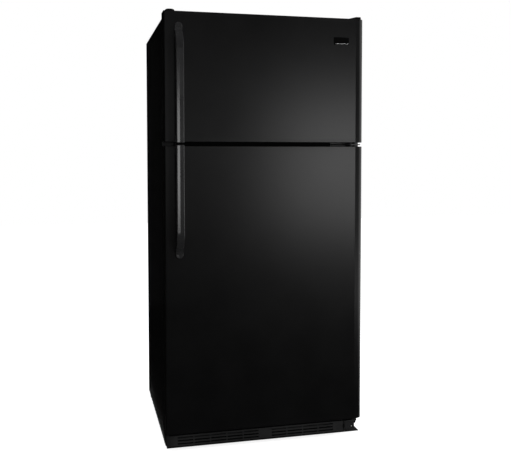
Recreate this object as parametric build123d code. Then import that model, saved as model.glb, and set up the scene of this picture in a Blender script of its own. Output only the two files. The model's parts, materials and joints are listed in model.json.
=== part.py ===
from build123d import *
import os
from math import atan2, cos, radians, sin, tan

# A refrigerator with the freezer on top and both doors hung on the right.
# Millimetres. +X is to the right of someone facing the doors, +Y to the back, +Z up.
# The origin is on the floor, under the middle of the whole appliance.

# Outside sizes
WIDTH = 762.0
CABINET_DEPTH = 628.0
DOOR_THICKNESS = 60.0
GASKET_GAP = 12.0
HANDLE_REACH = 50.0
FLOOR_CLEARANCE = 22.0
DOOR_BOTTOM = 66.0
FRIDGE_DOOR_HEIGHT = 1057.0
DOOR_GAP = 15.0
FREEZER_DOOR_HEIGHT = 468.0
DOOR_RISE = 17.0

# Sheet, wall and insulation thicknesses
STEEL = 1.0
LINER = 3.0
PANEL = 2.5
SIDE_WALL = 42.0
TOP_WALL = 54.0
BACK_WALL = 50.0
FLOOR_WALL = 42.0
MULLION = 64.0

# Roundings
EDGE_WIDTH = 34.0
EDGE_DEPTH = 20.0
DOOR_LEFT_EDGE = 6.0
DOOR_BEVEL = 15.0
DOOR_BEVEL_ANGLE = 12.0
DOOR_CAP_ROUND = 1.5
WRAP_BEND = 6.0
ROOM_CORNER = 18.0
CAP_ROUND = 3.0

# Clearances
RUNNING = 0.05
CLEAR = 0.3
SIDE_PLAY = 0.5

# Base: inverted channels along the sides, legs in front and rollers behind
RAIL_WIDTH = 30.0
RAIL_HEIGHT = 38.0
RAIL_SHEET = 2.0
RAIL_SETBACK = 14.0
LEG_STUD = 5.0
LEG_PAD = 12.5
LEG_PAD_HEIGHT = 9.0
LEG_NUT = 14.0
LEG_INSET = 30.0
ROLLER_RADIUS = 22.0
ROLLER_AXLE = 4.0
ROLLER_INSET = 44.0
DECK_RISE = 20.0

# Machine room behind the lower rear of the food room
MACHINE_TOP = 300.0
MACHINE_DEPTH = 240.0
COVER_LIFT = 12.0
LOUVRE_LENGTH = 120.0
LOUVRE_HEIGHT = 6.0
LOUVRE_PITCH_X = 150.0
LOUVRE_PITCH_Z = 22.0
LOUVRE_COLUMNS = 4
LOUVRE_ROWS = 7
GLAND_RADIUS = 12.0
GLAND_BORE = 5.0
GLAND_DEPTH = 14.0
GLAND_INSET = 81.0
GLAND_LIFT = 40.0

# Toe grille
GRILLE_GAP = 11.0
GRILLE_DROP = 5.0
GRILLE_SETBACK = 2.0
GRILLE_WALL = 3.0
SLOT_HEIGHT = 5.6
SLOT_PITCH = 11.4
SLOT_ROWS = 3
SLOT_LENGTH = 58.0
SLOT_RIB = 4.0
SLOT_MARGIN = 38.0
SLOT_MIDDLE = -5.0
SLOT_PLAIN = 44.0

# Doors
CAP = 14.0
FLANGE_LAP = 4.0
GASKET_WIDTH = 18.0
GASKET_LAP = 5.0
GASKET_NECK = 4.0
DIKE_DEPTH = 45.0
DIKE_WIDTH = 26.0
DIKE_GAP = 11.0
DIKE_DRAFT = 8.0

# Handles: a foot beside the door gap, a straight bar, then a tail that sinks to the door
HANDLE_INSET = 53.0
HANDLE_WIDTH = 28.0
HANDLE_BAR = 19.0
HANDLE_FOOT = 26.0
HANDLE_OVERHANG = 4.0
HANDLE_TAIL = 9.0
HANDLE_SWEEP = 84.0
HANDLE_TURN = 0.8
HANDLE_ROUND = 2.5
HANDLE_RIDGE = 12.0
HANDLE_DIP = 2.4
HANDLE_FACING = 0.1
FREEZER_HANDLE_LENGTH = 432.0
FRIDGE_HANDLE_LENGTH = 412.0

# Hinges
PIVOT_INSET = 26.0
PIVOT_DEPTH = 27.0
PIN = 5.0
PIN_REACH = 22.0
BUSH = 8.0
BUSH_FLANGE = 12.0
BUSH_FLOOR = 2.0
HINGE_SHEET = 2.5
LEAF_LIFT = 1.2
LEAF_RIGHT = 16.0
LEAF_LEFT = 10.0
LEAF_FRONT = 14.0
TOP_BASE_LEFT = 32.0
TOP_RIGHT = 12.5
TOP_BASE_LENGTH = 90.0
TOP_BASE_START = 6.0
CENTRE_LEAF = 4.0
CENTRE_LEFT = 85.0
CENTRE_NOSE = 22.0
CENTRE_FLANGE = 30.0
BOTTOM_DROP = 9.0
BOTTOM_LEFT = 42.0
BOTTOM_RIGHT = 8.0
BOTTOM_PLATE_WIDTH = 40.0
BOTTOM_PLATE_FOOT = 24.0
BOTTOM_HOLE = 3.5
BOTTOM_HOLE_X = 13.0
BOTTOM_HOLE_Z = 32.0
COVER_LEFT = 38.0
COVER_RIGHT = 16.5
COVER_FRONT = 22.0
COVER_LENGTH = 112.0
COVER_HEIGHT = 26.0
COVER_SLOPE_RUN = 36.0
COVER_SLOPE_DROP = 9.0
COVER_WALL = 2.0
COVER_CLEAR = 0.6
COVER_ROUND = 5.0
SCREW = 3.0
SCREW_HEAD = 5.0
SCREW_HEAD_HEIGHT = 4.0
PLUG_RADIUS = 17.0
PLUG_RISE = 9.0
PLUG_ROUND = 5.0

# Fridge room fittings
SHELF_RISES = (457.0, 697.0)
SHELF_FRONT = 113.0
SHELF_BACK_GAP = 62.0
SHELF_HEIGHT = 16.0
SHELF_RIM = 18.0
SHELF_LEDGE = 9.0
GLASS = 4.0
LEDGE_REACH = 8.0
LEDGE_HEIGHT = 9.0
CRISPER_COVER_RISE = 232.0
CRISPER_COVER_GAP = 3.0
CRISPER_GAP = 6.0
CRISPER_HEADROOM = 6.0
CRISPER_FRONT = 5.0
CRISPER_PULL = 14.0
CRISPER_ROUND = 10.0

# Control housing, lamp and light switch on the fridge ceiling
HOUSING_HALF = 150.0
HOUSING_FRONT = 190.0
HOUSING_DEPTH = 200.0
HOUSING_HEIGHT = 42.0
HOUSING_ROUND = 8.0
KNOB_X = 75.0
KNOB_RADIUS = 17.0
KNOB_HEIGHT = 13.0
KNOB_STEM = 3.0
KNOB_STEM_LENGTH = 18.0
KNOB_LIFT = 21.0
KNOB_RIB = 4.0
LAMP_POCKET_HALF = 55.0
LAMP_POCKET_DEPTH = 110.0
LAMP_POCKET_START = 70.0
LAMP_BULB = 15.0
LAMP_BASE = 9.0
LAMP_BASE_LENGTH = 24.0
SWITCH_INSET = 116.0
SWITCH_HALF = 13.0
SWITCH_FRONT = 52.0
SWITCH_DEPTH = 46.0
PLUNGER = 4.0
PLUNGER_LENGTH = 40.0
PLUNGER_TRAVEL = 6.0

# Freezer fittings
FREEZER_SHELF_RISE = 178.0
FREEZER_SHELF_DEPTH = 330.0
WIRE = 2.5
WIRE_WELD = 1.25
WIRE_INSET = 13.0
WIRE_COUNT = 13
EVAPORATOR_ROOM = 80.0
COIL_TUBE = 4.0
COIL_ROWS = 5
COIL_PITCH = 30.0
BEND_SHARE = 0.45
COIL_INSET = 99.0
COIL_FINS = 7
FIN = 1.0
FIN_DEPTH = 36.0
FIN_MARGIN = 12.0
COIL_LIFT = 24.0
FAN_RADIUS = 60.0
FAN_HUB = 16.0
FAN_DEPTH = 18.0
FAN_BLADES = 4
FAN_PITCH = 32.0
FAN_SHAFT = 3.0
FAN_RING_GAP = 4.0
FAN_DROP = 85.0
MOTOR_RADIUS = 26.0
MOTOR_LENGTH = 26.0
RETURN_SLOT_HEIGHT = 12.0
RETURN_SLOT_LENGTH = 80.0
RETURN_SLOT_GAP = 24.0
RETURN_SLOTS = 5

# Machine room fittings
COMPRESSOR_INSET = 176.0
COMPRESSOR_HALF_WIDTH = 95.0
COMPRESSOR_HALF_DEPTH = 72.0
COMPRESSOR_HEIGHT = 165.0
COMPRESSOR_DOME = 42.0
COMPRESSOR_SEAM = 6.0
COMPRESSOR_FOOT = 11.0
COMPRESSOR_FOOT_HEIGHT = 16.0
COMPRESSOR_PLATE = 3.0
CONDENSER_INSET = 81.0
CONDENSER_LENGTH = 210.0
CONDENSER_TUBE = 3.0
CONDENSER_PITCH = 26.0
CONDENSER_ROWS = 6
CONDENSER_LAYERS = 3
CONDENSER_LAYER_PITCH = 44.0
CONDENSER_LIFT = 44.0
CONDENSER_PLATE = 2.0
COOLING_FAN_STANDOFF = 165.0
COOLING_FAN_RADIUS = 70.0
SHROUD = 3.0
SHROUD_HALF = 95.0
PAN_HEIGHT = 30.0
PAN_MARGIN = 8.0

# Door bins
BIN_HEIGHT = 88.0
BIN_DEPTH = 94.0
BIN_SLOPE = 14.0
BIN_ROUND = 8.0
FREEZER_BIN_RISES = (2.0, 168.0)
FRIDGE_BIN_RISES = (288.0, 578.0)
DAIRY_DROP = 6.0
DAIRY_HEIGHT = 84.0
DAIRY_DEPTH = 82.0
DAIRY_WIDTH = 290.0
DAIRY_KNUCKLE = 4.0
DAIRY_PIN = 2.5
DAIRY_EAR = 10.0

# Places worked out from the sizes above
HALF = WIDTH / 2
HANDLE_X = -HALF + HANDLE_INSET
Y_BACK = (HANDLE_REACH + DOOR_THICKNESS + GASKET_GAP + CABINET_DEPTH) / 2
Y_CABINET = Y_BACK - CABINET_DEPTH
Y_DOOR_BACK = Y_CABINET - GASKET_GAP
Y_DOOR = Y_DOOR_BACK - DOOR_THICKNESS
Y_HANDLE = Y_DOOR - HANDLE_REACH
FRIDGE_DOOR_TOP = DOOR_BOTTOM + FRIDGE_DOOR_HEIGHT
FREEZER_DOOR_BOTTOM = FRIDGE_DOOR_TOP + DOOR_GAP
FREEZER_DOOR_TOP = FREEZER_DOOR_BOTTOM + FREEZER_DOOR_HEIGHT
GAP_MIDDLE = FRIDGE_DOOR_TOP + DOOR_GAP / 2
CABINET_TOP = FREEZER_DOOR_TOP - DOOR_RISE
BASE_TOP = FLOOR_CLEARANCE + RAIL_HEIGHT
CAVITY = HALF - SIDE_WALL
CAVITY_BACK = Y_BACK - BACK_WALL
FREEZER_FLOOR = GAP_MIDDLE + MULLION / 2
FREEZER_CEILING = CABINET_TOP - TOP_WALL
FRIDGE_FLOOR = BASE_TOP + STEEL + FLOOR_WALL
FRIDGE_CEILING = GAP_MIDDLE - MULLION / 2
Y_MACHINE = Y_BACK - MACHINE_DEPTH
HUMP_FRONT = Y_MACHINE - STEEL - FLOOR_WALL
HUMP_TOP = MACHINE_TOP + STEEL + FLOOR_WALL
DECK_TOP = FLOOR_CLEARANCE + DECK_RISE
GLAND_X = HALF - GLAND_INSET
INSIDE = CAVITY - LINER
RAIL_X = HALF - STEEL - RAIL_WIDTH / 2
GRILLE_TOP = DOOR_BOTTOM - GRILLE_DROP
Y_GRILLE = Y_DOOR + GRILLE_SETBACK
X_PIVOT = HALF - PIVOT_INSET
Y_PIVOT = Y_DOOR + PIVOT_DEPTH
GRILLE_RIGHT = X_PIVOT - BOTTOM_LEFT - GRILLE_GAP
TOP_LEAF = FREEZER_DOOR_TOP + LEAF_LIFT
CENTRE_LEAF_BOTTOM = GAP_MIDDLE - CENTRE_LEAF / 2
CENTRE_LEAF_TOP = GAP_MIDDLE + CENTRE_LEAF / 2
BOTTOM_LEAF_TOP = DOOR_BOTTOM - BOTTOM_DROP
PLATE_BACK = Y_DOOR_BACK + LINER
DIKE_BACK = PLATE_BACK + DIKE_DEPTH
DIKE_HALF = INSIDE - DIKE_GAP
BIN_HALF = DIKE_HALF - DIKE_WIDTH
Y_SHELF = Y_CABINET + SHELF_FRONT
SHELF_HALF = INSIDE - SIDE_PLAY
SHELF_DEPTH = CAVITY_BACK - LINER - SHELF_BACK_GAP - Y_SHELF
CRISPER_COVER_DEPTH = HUMP_FRONT - LINER - CRISPER_COVER_GAP - Y_SHELF
EVAPORATOR_FRONT = CAVITY_BACK - LINER - EVAPORATOR_ROOM
COIL_HALF = CAVITY - COIL_INSET
Y_FAN = EVAPORATOR_FRONT + FAN_DEPTH
Y_COIL = CAVITY_BACK - LINER - FIN_DEPTH / 2
FAN_Z = FREEZER_CEILING - LINER - FAN_DROP
Y_HOUSING = Y_CABINET + HOUSING_FRONT
CEILING = FRIDGE_CEILING - LINER
KNOB_Z = CEILING - KNOB_LIFT
SWITCH_Z = CEILING - DIKE_GAP - DIKE_WIDTH / 2
SWITCH_X = INSIDE - SWITCH_INSET
Y_SWITCH = Y_CABINET + SWITCH_FRONT
COMPRESSOR_X = HALF - COMPRESSOR_INSET
COMPRESSOR_Y = Y_MACHINE + MACHINE_DEPTH / 2
CONDENSER_X = (-HALF + CONDENSER_INSET, -HALF + CONDENSER_INSET + CONDENSER_LENGTH)
COOLING_FAN_X = COMPRESSOR_X - COOLING_FAN_STANDOFF
COOLING_FAN_Z = DECK_TOP + SHROUD_HALF + PAN_MARGIN
X_DAIRY = -BIN_HALF + DAIRY_WIDTH / 2
DIKE_LIP = LINER + DIKE_GAP + DIKE_WIDTH
DAIRY_TOP = FRIDGE_CEILING - DIKE_LIP - DAIRY_DROP
DAIRY_LEVEL = DAIRY_TOP - DAIRY_HEIGHT
FREEZER_BIN_LEVELS = [FREEZER_FLOOR + DIKE_LIP + rise for rise in FREEZER_BIN_RISES]
FRIDGE_BIN_LEVELS = [FRIDGE_FLOOR + DIKE_LIP + rise for rise in FRIDGE_BIN_RISES]
SHELF_LEVELS = [FRIDGE_FLOOR + rise for rise in SHELF_RISES]
CRISPER_COVER_LEVEL = FRIDGE_FLOOR + CRISPER_COVER_RISE
FREEZER_SHELF_LEVEL = FREEZER_FLOOR + FREEZER_SHELF_RISE
Y_KNUCKLE = PLATE_BACK + DAIRY_DEPTH + CLEAR + DAIRY_KNUCKLE
Z_KNUCKLE = DAIRY_TOP - DAIRY_KNUCKLE


def block(x, y, z):
    """A box between a lower and an upper limit along each axis."""
    limits = (x, y, z)
    middle = [(low + high) / 2 for low, high in limits]
    size = [high - low for low, high in limits]
    return Pos(*middle) * Box(*size)


def wide(half, y, z):
    """A box that is centred across the width."""
    return block((-half, half), y, z)


def post(x, y, z, radius):
    """An upright cylinder between two heights."""
    low, high = z
    return Pos(x, y, (low + high) / 2) * Cylinder(radius, high - low)


def bar_along_x(x, y, z, radius):
    """A cylinder across the width."""
    low, high = x
    return Pos((low + high) / 2, y, z) * Rot(0, 90, 0) * Cylinder(radius, high - low)


def bar_along_y(x, y, z, radius):
    """A cylinder from front to back."""
    low, high = y
    return Pos(x, (low + high) / 2, z) * Rot(90, 0, 0) * Cylinder(radius, high - low)


def side_profile(points, half, x=0.0):
    """A solid of a (y, z) outline, as wide as two halves, centred at x."""
    face = make_face(Polyline(*points, close=True))
    return Pos(x, 0, 0) * extrude(Plane.YZ * face, amount=half, both=True)


def ring(outer, inner):
    """What is left between two (half width, low, high) rectangles, as a sketch of x and z."""
    shapes = []
    for half, low, high in (outer, inner):
        shapes.append(Pos(0, (low + high) / 2) * Rectangle(2 * half, high - low))
    return shapes[0] - shapes[1]


def shell_inside():
    """The room inside the steel wrapper, open to the back and below."""
    room = wide(HALF - STEEL, (Y_CABINET + STEEL, Y_BACK), (FLOOR_CLEARANCE, CABINET_TOP - STEEL))
    corners = room.edges().filter_by(Axis.Y).group_by(Axis.Z)[-1]
    return fillet(corners, WRAP_BEND - STEEL)


def freezer_room(inset):
    """The freezer liner's outside at inset 0, and its inside at the liner's thickness."""
    depth = (Y_CABINET, CAVITY_BACK - inset)
    room = wide(CAVITY - inset, depth, (FREEZER_FLOOR + inset, FREEZER_CEILING - inset))
    return fillet(room.edges().filter_by(Axis.Y), ROOM_CORNER - inset)


def fridge_room(inset):
    """The fridge liner's outside or inside, stepped over the machine room."""
    floor = FRIDGE_FLOOR + inset
    hump_front = HUMP_FRONT - inset
    hump_top = HUMP_TOP + inset
    back = CAVITY_BACK - inset
    ceiling = FRIDGE_CEILING - inset
    outline = [
        (Y_CABINET, floor),
        (hump_front, floor),
        (hump_front, hump_top),
        (back, hump_top),
        (back, ceiling),
        (Y_CABINET, ceiling),
    ]
    room = side_profile(outline, CAVITY - inset)
    levels = room.edges().filter_by(Axis.Y).group_by(Axis.Z)
    return fillet(levels[0] + levels[-1], ROOM_CORNER - inset)


def ledges(level, front, depth):
    """A pair of moulded ribs that carry a shelf."""
    height = (level - LEDGE_HEIGHT, level)
    length = (front, front + depth)
    left = block((-INSIDE, -INSIDE + LEDGE_REACH), length, height)
    right = block((INSIDE - LEDGE_REACH, INSIDE), length, height)
    return left + right


def cabinet_shell():
    outer = wide(HALF, (Y_CABINET, Y_BACK), (FLOOR_CLEARANCE, CABINET_TOP))
    outer = fillet(outer.edges().filter_by(Axis.Y).group_by(Axis.Z)[-1], WRAP_BEND)
    front = (Y_CABINET, Y_CABINET + STEEL)
    mouth = wide(CAVITY, front, (FRIDGE_CEILING, FREEZER_FLOOR))
    toe = wide(CAVITY, front, (FLOOR_CLEARANCE, FRIDGE_FLOOR + ROOM_CORNER))
    return outer - shell_inside() - freezer_room(0) - fridge_room(0) - mouth - toe


def back_panel():
    return shell_inside() & wide(HALF, (Y_BACK - STEEL, Y_BACK), (MACHINE_TOP, CABINET_TOP))


def cabinet_foam():
    depth = (Y_CABINET + STEEL, Y_BACK - STEEL)
    fill = shell_inside() & wide(HALF, depth, (BASE_TOP + STEEL, CABINET_TOP))
    machine = wide(HALF, (Y_MACHINE - STEEL, Y_BACK), (BASE_TOP, MACHINE_TOP + STEEL))
    return fill - machine - freezer_room(0) - fridge_room(0)


def freezer_liner():
    liner = freezer_room(0) - freezer_room(LINER)
    front = EVAPORATOR_FRONT - LINER - FREEZER_SHELF_DEPTH
    return liner + ledges(FREEZER_SHELF_LEVEL, front, FREEZER_SHELF_DEPTH)


def fridge_liner():
    liner = fridge_room(0) - fridge_room(LINER)
    for level in SHELF_LEVELS:
        liner = liner + ledges(level, Y_SHELF, SHELF_DEPTH)
    return liner + ledges(CRISPER_COVER_LEVEL, Y_SHELF, CRISPER_COVER_DEPTH)


def mullion_rail():
    return wide(CAVITY, (Y_CABINET, Y_CABINET + STEEL), (FRIDGE_CEILING, FREEZER_FLOOR))


def base_rail(side):
    """An inverted channel with a leg nut in front and a roller axle behind."""
    x = side * RAIL_X
    limits = (x - RAIL_WIDTH / 2, x + RAIL_WIDTH / 2)
    hollow = (limits[0] + RAIL_SHEET, limits[1] - RAIL_SHEET)
    length = (Y_CABINET + STEEL, Y_BACK - RAIL_SETBACK)
    rail = block(limits, length, (FLOOR_CLEARANCE, BASE_TOP))
    rail = rail - block(hollow, length, (FLOOR_CLEARANCE, BASE_TOP - RAIL_SHEET))
    y_leg = Y_CABINET + LEG_INSET
    nut_top = BASE_TOP - RAIL_SHEET
    rail = rail + block(hollow, (y_leg - LEG_NUT, y_leg + LEG_NUT), (nut_top - LEG_NUT, nut_top))
    rail = rail - post(x, y_leg, (FLOOR_CLEARANCE, BASE_TOP), LEG_STUD + RUNNING)
    y_roller = Y_BACK - ROLLER_INSET
    return rail + bar_along_x(hollow, y_roller, ROLLER_RADIUS, ROLLER_AXLE)


def base_frame():
    """Side channels, front rail, deck and the stepped pan that roofs the machine room."""
    between = RAIL_X - RAIL_WIDTH / 2
    frame = wide(CAVITY, (Y_CABINET, Y_CABINET + STEEL), (FLOOR_CLEARANCE, FRIDGE_FLOOR))
    frame = frame - fridge_room(0)
    pan = wide(HALF - STEEL, (Y_CABINET + STEEL, Y_MACHINE), (BASE_TOP, BASE_TOP + STEEL))
    wall = wide(HALF - STEEL, (Y_MACHINE - STEEL, Y_MACHINE), (BASE_TOP, MACHINE_TOP + STEEL))
    roof = wide(HALF - STEEL, (Y_MACHINE, Y_BACK - STEEL), (MACHINE_TOP, MACHINE_TOP + STEEL))
    deck = wide(between, (Y_MACHINE, Y_BACK - RAIL_SETBACK), (DECK_TOP - RAIL_SHEET, DECK_TOP))
    apron = wide(between, (Y_MACHINE - STEEL, Y_MACHINE), (DECK_TOP - RAIL_SHEET, BASE_TOP))
    return frame + pan + wall + roof + deck + apron + base_rail(-1) + base_rail(1)


def levelling_legs():
    """Two screw legs with round pads, one in each side channel."""
    legs = []
    for side in (-1, 1):
        x = side * RAIL_X
        y = Y_CABINET + LEG_INSET
        pad = post(x, y, (0, LEG_PAD_HEIGHT), LEG_PAD)
        pad = fillet(pad.edges().group_by(Axis.Z)[-1], CAP_ROUND)
        legs.append(pad + post(x, y, (LEG_PAD_HEIGHT, BASE_TOP), LEG_STUD))
    return Compound(children=[leg.solid() for leg in legs])


def roller(side):
    """A rear roller on the axle across its channel."""
    half = RAIL_WIDTH / 2 - RAIL_SHEET - SIDE_PLAY
    x = side * RAIL_X
    y = Y_BACK - ROLLER_INSET
    wheel = bar_along_x((x - half, x + half), y, ROLLER_RADIUS, ROLLER_RADIUS)
    wheel = fillet(wheel.edges().filter_by(GeomType.CIRCLE), CAP_ROUND)
    return wheel - bar_along_x((x - half, x + half), y, ROLLER_RADIUS, ROLLER_AXLE + RUNNING)


def grille_slots():
    """Three rows of slots, with a plain stretch in the middle and at both ends."""
    step = SLOT_LENGTH + SLOT_RIB
    rows_height = (SLOT_ROWS - 1) * SLOT_PITCH
    lowest = (FLOOR_CLEARANCE + GRILLE_TOP - rows_height) / 2
    left = -HALF + SLOT_MARGIN
    right = GRILLE_RIGHT - SLOT_MARGIN
    fields = [
        (left, SLOT_MIDDLE - SLOT_PLAIN / 2),
        (SLOT_MIDDLE + SLOT_PLAIN / 2, right),
    ]
    centres = []
    for start, end in fields:
        count = int((end - start + SLOT_RIB) // step)
        first = (start + end - (count - 1) * step) / 2
        for column in range(count):
            for row in range(SLOT_ROWS):
                centres.append((first + column * step, lowest + row * SLOT_PITCH))
    slots = Locations(centres).locations
    face = Sketch() + [spot * Rectangle(SLOT_LENGTH, SLOT_HEIGHT) for spot in slots]
    return Pos(0, Y_GRILLE + GRILLE_WALL, 0) * extrude(Plane.XZ * face, amount=2 * GRILLE_WALL)


def grille_outline(inset):
    """Plan of the toe grille: rolled left end like the doors, square right end."""
    left = -HALF + inset
    right = GRILLE_RIGHT - inset
    front = Y_GRILLE + inset
    across = EDGE_WIDTH - inset
    deep = EDGE_DEPTH - inset
    edges = [
        Line((left, Y_CABINET), (left, front + deep)),
        EllipticalCenterArc((left + across, front + deep), across, deep, 180, arc_size=90),
        Line((left + across, front), (right, front)),
        Line((right, front), (right, Y_CABINET)),
        Line((right, Y_CABINET), (left, Y_CABINET)),
    ]
    return make_face(Curve() + edges)


def toe_grille():
    height = GRILLE_TOP - FLOOR_CLEARANCE
    body = Pos(0, 0, FLOOR_CLEARANCE) * extrude(grille_outline(0), height)
    hollow = Pos(0, 0, FLOOR_CLEARANCE) * extrude(grille_outline(GRILLE_WALL), height - GRILLE_WALL)
    return body - hollow - grille_slots()


def machine_cover():
    """The louvred rear cover, with the gland that the mains lead leaves through."""
    low = FLOOR_CLEARANCE + COVER_LIFT
    cover = wide(HALF - STEEL - SIDE_PLAY, (Y_BACK - STEEL, Y_BACK), (low, MACHINE_TOP))
    middle = (low + MACHINE_TOP) / 2
    grid = GridLocations(LOUVRE_PITCH_X, LOUVRE_PITCH_Z, LOUVRE_COLUMNS, LOUVRE_ROWS)
    face = Sketch() + [spot * Rectangle(LOUVRE_LENGTH, LOUVRE_HEIGHT) for spot in grid]
    louvres = extrude(Plane.XZ * Pos(0, middle) * face, amount=Y_BACK, both=True)
    gland_z = low + GLAND_LIFT
    gland = bar_along_y(GLAND_X, (Y_BACK - GLAND_DEPTH, Y_BACK), gland_z, GLAND_RADIUS)
    bore = bar_along_y(GLAND_X, (Y_BACK - GLAND_DEPTH, Y_BACK), gland_z, GLAND_BORE)
    keep = block((-HALF, GLAND_X - GLAND_RADIUS), (0, Y_BACK), (low, MACHINE_TOP))
    return cover - (louvres & keep) + gland - bore


def compressor():
    """A welded oval can on a foot plate with four rubber mounts."""
    low = DECK_TOP + COMPRESSOR_FOOT_HEIGHT + COMPRESSOR_PLATE
    oval = Ellipse(COMPRESSOR_HALF_WIDTH, COMPRESSOR_HALF_DEPTH)
    can = extrude(oval, COMPRESSOR_HEIGHT)
    can = fillet(can.edges().group_by(Axis.Z)[-1], COMPRESSOR_DOME)
    flange = Ellipse(COMPRESSOR_HALF_WIDTH + COMPRESSOR_SEAM, COMPRESSOR_HALF_DEPTH + COMPRESSOR_SEAM)
    seam = Pos(0, 0, COMPRESSOR_HEIGHT / 2) * extrude(flange, COMPRESSOR_SEAM)
    can = Pos(COMPRESSOR_X, COMPRESSOR_Y, low) * (can + seam)
    half = COMPRESSOR_HALF_WIDTH
    deep = COMPRESSOR_HALF_DEPTH + COMPRESSOR_FOOT
    plate = block(
        (COMPRESSOR_X - half, COMPRESSOR_X + half),
        (COMPRESSOR_Y - deep, COMPRESSOR_Y + deep),
        (low - COMPRESSOR_PLATE, low),
    )
    body = can + plate
    for across in (-1, 1):
        for along in (-1, 1):
            x = COMPRESSOR_X + across * (half - COMPRESSOR_FOOT)
            y = COMPRESSOR_Y + along * (deep - COMPRESSOR_FOOT)
            body = body + post(x, y, (DECK_TOP, low - COMPRESSOR_PLATE), COMPRESSOR_FOOT)
    return body


def serpentine(y, x, low, rows, pitch, radius):
    """A tube that runs to and fro across the width, one row above another."""
    points = []
    for row in range(rows):
        ends = x if row % 2 == 0 else (x[1], x[0])
        for end in ends:
            points.append((end, y, low + row * pitch))
    path = FilletPolyline(*points, radius=BEND_SHARE * pitch)
    section = Plane(origin=points[0], z_dir=(1, 0, 0)) * Circle(radius)
    return sweep(section, path=path)


def condenser_coil():
    """Layers of tube between two end plates that stand on the deck."""
    low = DECK_TOP + CONDENSER_LIFT
    top = low + (CONDENSER_ROWS - 1) * CONDENSER_PITCH
    first = COMPRESSOR_Y - (CONDENSER_LAYERS - 1) * CONDENSER_LAYER_PITCH / 2
    last = COMPRESSOR_Y + (CONDENSER_LAYERS - 1) * CONDENSER_LAYER_PITCH / 2
    coil = None
    for layer in range(CONDENSER_LAYERS):
        y = first + layer * CONDENSER_LAYER_PITCH
        tube = serpentine(y, CONDENSER_X, low, CONDENSER_ROWS, CONDENSER_PITCH, CONDENSER_TUBE)
        coil = tube if coil is None else coil + tube
    margin = CONDENSER_PITCH
    for end, inward in ((CONDENSER_X[0], 1), (CONDENSER_X[1], -1)):
        x = end + inward * margin
        coil = coil + block(
            (x - CONDENSER_PLATE / 2, x + CONDENSER_PLATE / 2),
            (first - margin / 2, last + margin / 2),
            (DECK_TOP, top + margin / 2),
        )
    return coil


def drain_pan():
    """The tray on the deck, between the condenser's end plates."""
    inset = CONDENSER_PITCH + CONDENSER_PLATE + PAN_MARGIN
    x = (CONDENSER_X[0] + inset, CONDENSER_X[1] - inset)
    reach = CONDENSER_LAYERS * CONDENSER_LAYER_PITCH / 2
    y = (COMPRESSOR_Y - reach, COMPRESSOR_Y + reach)
    tray = block(x, y, (DECK_TOP, DECK_TOP + PAN_HEIGHT))
    tray = fillet(tray.edges().filter_by(Axis.Z), PAN_MARGIN)
    hollow = block(
        (x[0] + PANEL, x[1] - PANEL),
        (y[0] + PANEL, y[1] - PANEL),
        (DECK_TOP + PANEL, DECK_TOP + PAN_HEIGHT),
    )
    return tray - fillet(hollow.edges().filter_by(Axis.Z), PAN_MARGIN - PANEL)


def fan(radius, hub, depth, shaft):
    """A fan about its own Z axis: pitched blades on a bored hub."""
    disc = Cylinder(radius, depth)
    blades = None
    for number in range(FAN_BLADES):
        blade = Pos(radius / 2, 0, 0) * Rot(FAN_PITCH, 0, 0) * Box(radius, radius, PANEL)
        blade = Rot(0, 0, number * 360 / FAN_BLADES) * blade
        blades = blade if blades is None else blades + blade
    wheel = (blades & disc) + Cylinder(hub, depth)
    return wheel - Cylinder(shaft + RUNNING, depth)


def evaporator_fan():
    wheel = fan(FAN_RADIUS, FAN_HUB, FAN_DEPTH, FAN_SHAFT)
    return Pos(0, Y_FAN, FAN_Z) * Rot(90, 0, 0) * wheel


def evaporator_fan_motor():
    """A motor can on a strap that stands off the liner's back wall."""
    front = Y_FAN + FAN_DEPTH / 2 + PANEL
    back = CAVITY_BACK - LINER
    can = bar_along_y(0, (front, front + MOTOR_LENGTH), FAN_Z, MOTOR_RADIUS)
    shaft = bar_along_y(0, (Y_FAN - FAN_DEPTH / 2, front), FAN_Z, FAN_SHAFT)
    stem = bar_along_y(0, (front + MOTOR_LENGTH, back), FAN_Z, FAN_HUB)
    return can + shaft + stem


def evaporator_cover():
    """The panel in front of the evaporator, with the fan mouth and the return slots."""
    cover = freezer_room(LINER) & wide(
        CAVITY, (EVAPORATOR_FRONT - LINER, EVAPORATOR_FRONT), (FREEZER_FLOOR, FREEZER_CEILING)
    )
    through = (EVAPORATOR_FRONT - LINER, EVAPORATOR_FRONT)
    step = RETURN_SLOT_LENGTH + RETURN_SLOT_GAP
    low = FREEZER_FLOOR + LINER + COIL_LIFT
    for number in range(RETURN_SLOTS):
        x = (number - (RETURN_SLOTS - 1) / 2) * step
        limits = (x - RETURN_SLOT_LENGTH / 2, x + RETURN_SLOT_LENGTH / 2)
        cover = cover - block(limits, through, (low, low + RETURN_SLOT_HEIGHT))
    mouth = FAN_RADIUS + FAN_RING_GAP
    cover = cover - bar_along_y(0, through, FAN_Z, mouth)
    for turn in range(2):
        spoke = Rot(0, turn * 90, 0) * Box(2 * mouth, LINER, RETURN_SLOT_HEIGHT)
        cover = cover + Pos(0, EVAPORATOR_FRONT - LINER / 2, FAN_Z) * spoke
    return cover


def evaporator_coil():
    """A finned serpentine whose fins stand on the liner's back wall."""
    low = FREEZER_FLOOR + LINER + COIL_LIFT
    limits = (-COIL_HALF, COIL_HALF)
    coil = serpentine(Y_COIL, limits, low, COIL_ROWS, COIL_PITCH, COIL_TUBE)
    top = low + (COIL_ROWS - 1) * COIL_PITCH
    run = COIL_HALF - COIL_PITCH
    for number in range(COIL_FINS):
        x = -run + number * 2 * run / (COIL_FINS - 1)
        coil = coil + block(
            (x - FIN / 2, x + FIN / 2),
            (Y_COIL - FIN_DEPTH / 2, Y_COIL + FIN_DEPTH / 2),
            (low - FIN_MARGIN, top + FIN_MARGIN),
        )
    return coil


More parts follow.
